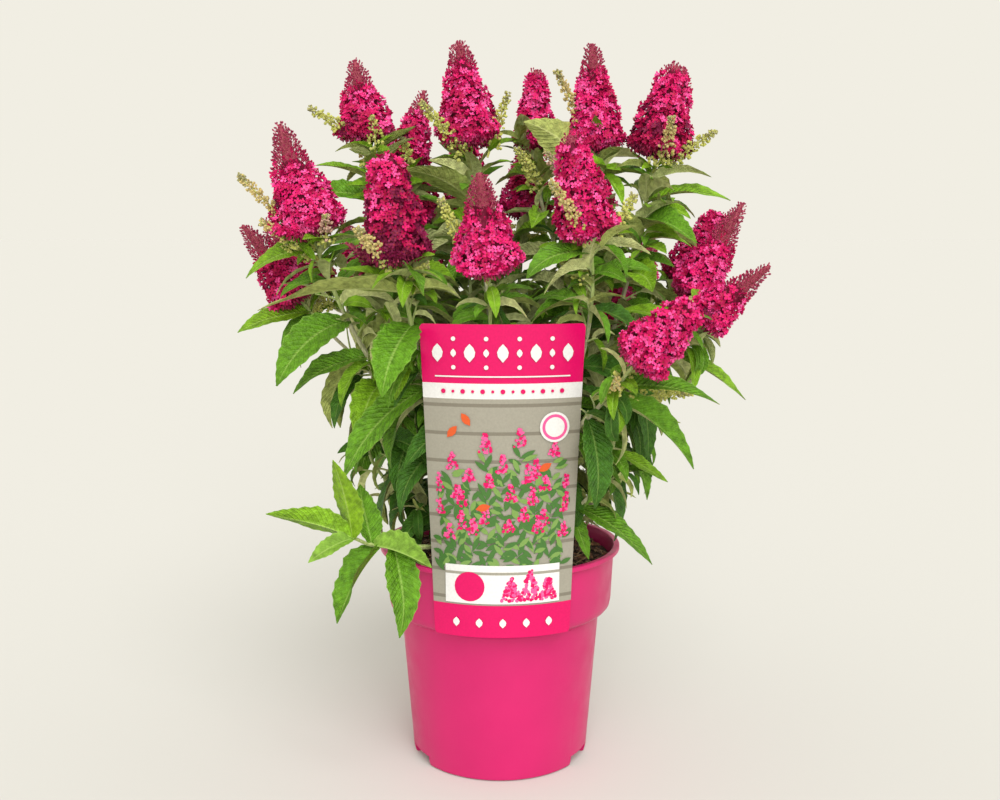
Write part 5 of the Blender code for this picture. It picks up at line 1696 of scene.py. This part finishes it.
def block_print(pile, left, right, low, high, layer, ink):
    """A closed oblong of ink, in cells that are small enough to follow the card."""
    columns = 1 + int((right - left) / PRINT_CELL)
    rows = 1 + int((high - low) / PRINT_CELL)
    corners = []
    for top in (LAYER * layer, LAYER * layer - PRINT_DEPTH):
        for row in range(rows + 1):
            for column in range(columns + 1):
                x = left + (right - left) * column / columns
                corners.append(on_card(x, low + (high - low) * row / rows, top))
    wide = columns + 1
    under = wide * (rows + 1)
    faces = []
    for row in range(rows):
        for column in range(columns):
            a = row * wide + column
            faces.append((a, a + 1, a + wide + 1, a + wide))
            faces.append((under + a + wide, under + a + wide + 1, under + a + 1, under + a))
    rim = list(range(columns))
    rim += [columns + wide * row for row in range(rows)]
    rim += [wide * rows + columns - column for column in range(columns)]
    rim += [wide * (rows - row) for row in range(rows)]
    for a, b in zip(rim, rim[1:] + rim[:1]):
        faces.append((b, a, under + a, under + b))
    pile.add(np.array(corners), np.array(faces), ink)


def round_print(pile, x, y, radius, layer, ink, corners=16):
    turns = [k * 2 * math.pi / corners for k in range(corners)]
    add_print(pile, [(x + radius * math.cos(t), y + radius * math.sin(t)) for t in turns], layer, ink)


def lozenge_print(pile, x, y, length, width, lean, layer, ink):
    """A pointed leaf or diamond, which leans this many degrees from upright."""
    along_way = np.array([math.sin(math.radians(lean)), math.cos(math.radians(lean))])
    across_way = np.array([along_way[1], -along_way[0]])
    outline = [(x, y) + along_way * up * length + across_way * out * width for up, out in LOZENGE]
    add_print(pile, outline, layer, ink)


def cone_print(pile, x, y, breadth, tall, count, dot, layer, rng):
    """A cone of pink dots that stands on the point x, y."""
    for k in range(count):
        rise = rng.random() ** 1.3
        dot_x = x + rng.uniform(-breadth, breadth) / 2 * (1 - 0.75 * rise)
        ink = rng.choice((PINK_INK, MAGENTA_INK))
        if abs(dot_x) < PRINT_HALF:
            radius = dot * rng.uniform(0.7, 1.2)
            round_print(pile, dot_x, y + rise * tall, radius, layer + rng.random(), ink, 8)


def sprig_print(pile, x, y, height, lean, seed):
    """A stylised sprig: leaves closely set up a leaning line, and cones of dots on top and among them."""
    rng = random.Random(seed)
    slope = math.tan(math.radians(lean))
    for i in range(34):
        up = height * i / 34
        turn = lean + rng.choice((-1, 1)) * rng.uniform(20, 80)
        leaf_x = x + slope * up + math.sin(math.radians(turn)) * rng.uniform(3, 8)
        ink = rng.choice((LEAF_INK, LEAF_INK, LIGHT_LEAF_INK))
        if abs(leaf_x) < PRINT_HALF:
            lozenge_print(pile, leaf_x, y + up + 3, rng.uniform(8, 13), 3.6, turn, 1 + rng.random() * 2, ink)
    for up in (1.04, 0.74, 0.42):
        cone_x = x + slope * up * height + rng.uniform(-7, 7) * (up < 1)
        cone_print(pile, cone_x, y + up * height, 9.5, rng.uniform(9, 14), 34, 1.05, 3.5, rng)


bpy.ops.object.select_all(action="DESELECT")
bpy.ops.mesh.primitive_grid_add(x_subdivisions=CARD_COLUMNS, y_subdivisions=CARD_ROWS, size=2)
card = bpy.context.object
card.name = "label_card"
band_edges = (PANEL_FOOT, *WHITE_BAND)
for corner in card.data.vertices:
    share = (corner.co.y + 1) / 2
    nearest = min(band_edges, key=lambda edge: abs(edge - share))
    share = nearest if abs(nearest - share) < 0.5 / CARD_ROWS else share
    corner.co = label_point(corner.co.x, share)
bpy.ops.object.mode_set(mode="EDIT")
bpy.ops.mesh.select_all(action="SELECT")
bpy.ops.mesh.flip_normals()
bpy.ops.object.mode_set(mode="OBJECT")
for finish in INKS:
    card.data.materials.append(finish)
for k, face in enumerate(card.data.polygons):
    share = (k // CARD_COLUMNS + 0.5) / CARD_ROWS
    if share < PANEL_FOOT or share > WHITE_BAND[1]:
        face.material_index = MAGENTA_INK
    elif share > WHITE_BAND[0]:
        face.material_index = WHITE_INK
    else:
        in_gap = k // CARD_COLUMNS % PLANK_ROWS == PLANK_GAP_ROW
        face.material_index = DARK_INK if in_gap else STONE_INK
depth = card.modifiers.new("card", "SOLIDIFY")
depth.thickness = LABEL_THICKNESS
depth.offset = 1
bpy.ops.object.modifier_apply(modifier=depth.name)
for face in card.data.polygons:
    if face.normal.y > 0.3:
        face.material_index = CARD_BACK
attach(card, "root")
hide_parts("plant_label")

prints = Pile()
for k in range(9):
    x = -46 + k * 11.5
    length, width = (6, 4) if k % 2 else (13, 8)
    lozenge_print(prints, x, 208, length, width, 0, 1, WHITE_INK)
    for y in (198, 218) if k % 2 else ():
        round_print(prints, x, y, 1.6, 1, WHITE_INK, 10)
block_print(prints, -48, 48, 191, 192, 1, WHITE_INK)
for k in range(13):
    round_print(prints, -42 + k * 7, 181, 1.1 if k % 2 else 1.7, 1, MAGENTA_INK, 10)
for k, height in enumerate((56, 72, 64, 84, 70, 88, 66, 80, 58)):
    sprig_print(prints, -43 + k * 10.75, 50, height, -4 + k, 20 + k)
block_print(prints, -42, 42, 25.5, 54, 5, WHITE_INK)
block_print(prints, -42, 42, 47, 49, 6, STONE_INK)
rng = random.Random(5)
for x, tall in ((6, 17), (20, 22), (33, 15)):
    cone_print(prints, x, 28, 15, tall, 90, 1.3, 6.2, rng)
for k in range(5):
    lozenge_print(prints, -34 + k * 17, 11, 7, 5, 0, 1, WHITE_INK)
for x, y, lean in ((-36, 152, 40), (-26, 161, -35), (30, 126, 60), (-14, 97, 75)):
    lozenge_print(prints, x, y, 11, 5.5, lean, 5, ORANGE_INK)
for radius, layer, ink in ((11, 5, WHITE_INK), (9.3, 6, PINK_INK), (7.2, 7, WHITE_INK)):
    round_print(prints, 37, 155, radius, layer, ink, 24)
round_print(prints, -24, 38, 11, 7, MAGENTA_INK, 24)
label_print = prints.piece("label_print", INKS)
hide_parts("plant_label")


# The studio has a pale floor that runs to the horizon, an even cream sky, a soft sun from the front right and
# a weak low light that fills in from the front.
SKY = (0.88, 0.855, 0.768)
SUN_ON_FLOOR = 0.42
SUN_ANGLE = math.radians(42)
FILL_ON_FLOOR = 0.14
FILL_ANGLE = math.radians(74)

# Each lamp's light on the floor, its angle from straight overhead and its bearing to the right.
LAMPS = (("sun", SUN_ON_FLOOR, SUN_ANGLE, 14), ("fill", FILL_ON_FLOOR, FILL_ANGLE, 4))
PHOTO_WIDTH = 1000
FOCAL_PIXELS = 1156
SENSOR_WIDTH = 36

bpy.ops.object.select_all(action="DESELECT")
bpy.ops.mesh.primitive_plane_add(size=400, location=(0, 0, -0.2 * MM))
floor = bpy.context.object
floor.name = "studio_floor"
floor_colour = [channel / (channel + SUN_ON_FLOOR + FILL_ON_FLOOR) for channel in SKY]
floor.data.materials.append(new_finish("floor_matt", floor_colour, 1.0, 0)[0])
floor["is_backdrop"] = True

world = bpy.data.worlds.new("studio")
bpy.context.scene.world = world
world.use_nodes = True
world.node_tree.nodes["Background"].inputs["Color"].default_value = (*SKY, 1)
world.node_tree.nodes["Background"].inputs["Strength"].default_value = 1.0
for name, on_floor, angle, bearing in LAMPS:
    lamp = bpy.data.objects.new(name, bpy.data.lights.new(name, "SUN"))
    lamp.data.energy = on_floor * math.pi / math.cos(angle)
    lamp.data.angle = math.radians(40)
    lamp.rotation_euler = (angle, 0, math.radians(bearing))
    bpy.context.scene.collection.objects.link(lamp)

camera = bpy.data.objects.new("camera", bpy.data.cameras.new("camera"))
camera.location = (0, -0.9, 0.41)
camera.rotation_euler = (math.radians(82), 0, 0)
camera.data.sensor_width = SENSOR_WIDTH
camera.data.lens = FOCAL_PIXELS / PHOTO_WIDTH * SENSOR_WIDTH
bpy.context.scene.collection.objects.link(camera)
bpy.context.scene.camera = camera
bpy.context.scene.view_settings.view_transform = "Standard"

bpy.context.view_layer.update()
sizes = {"solids": solid_bounds, "visual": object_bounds()}
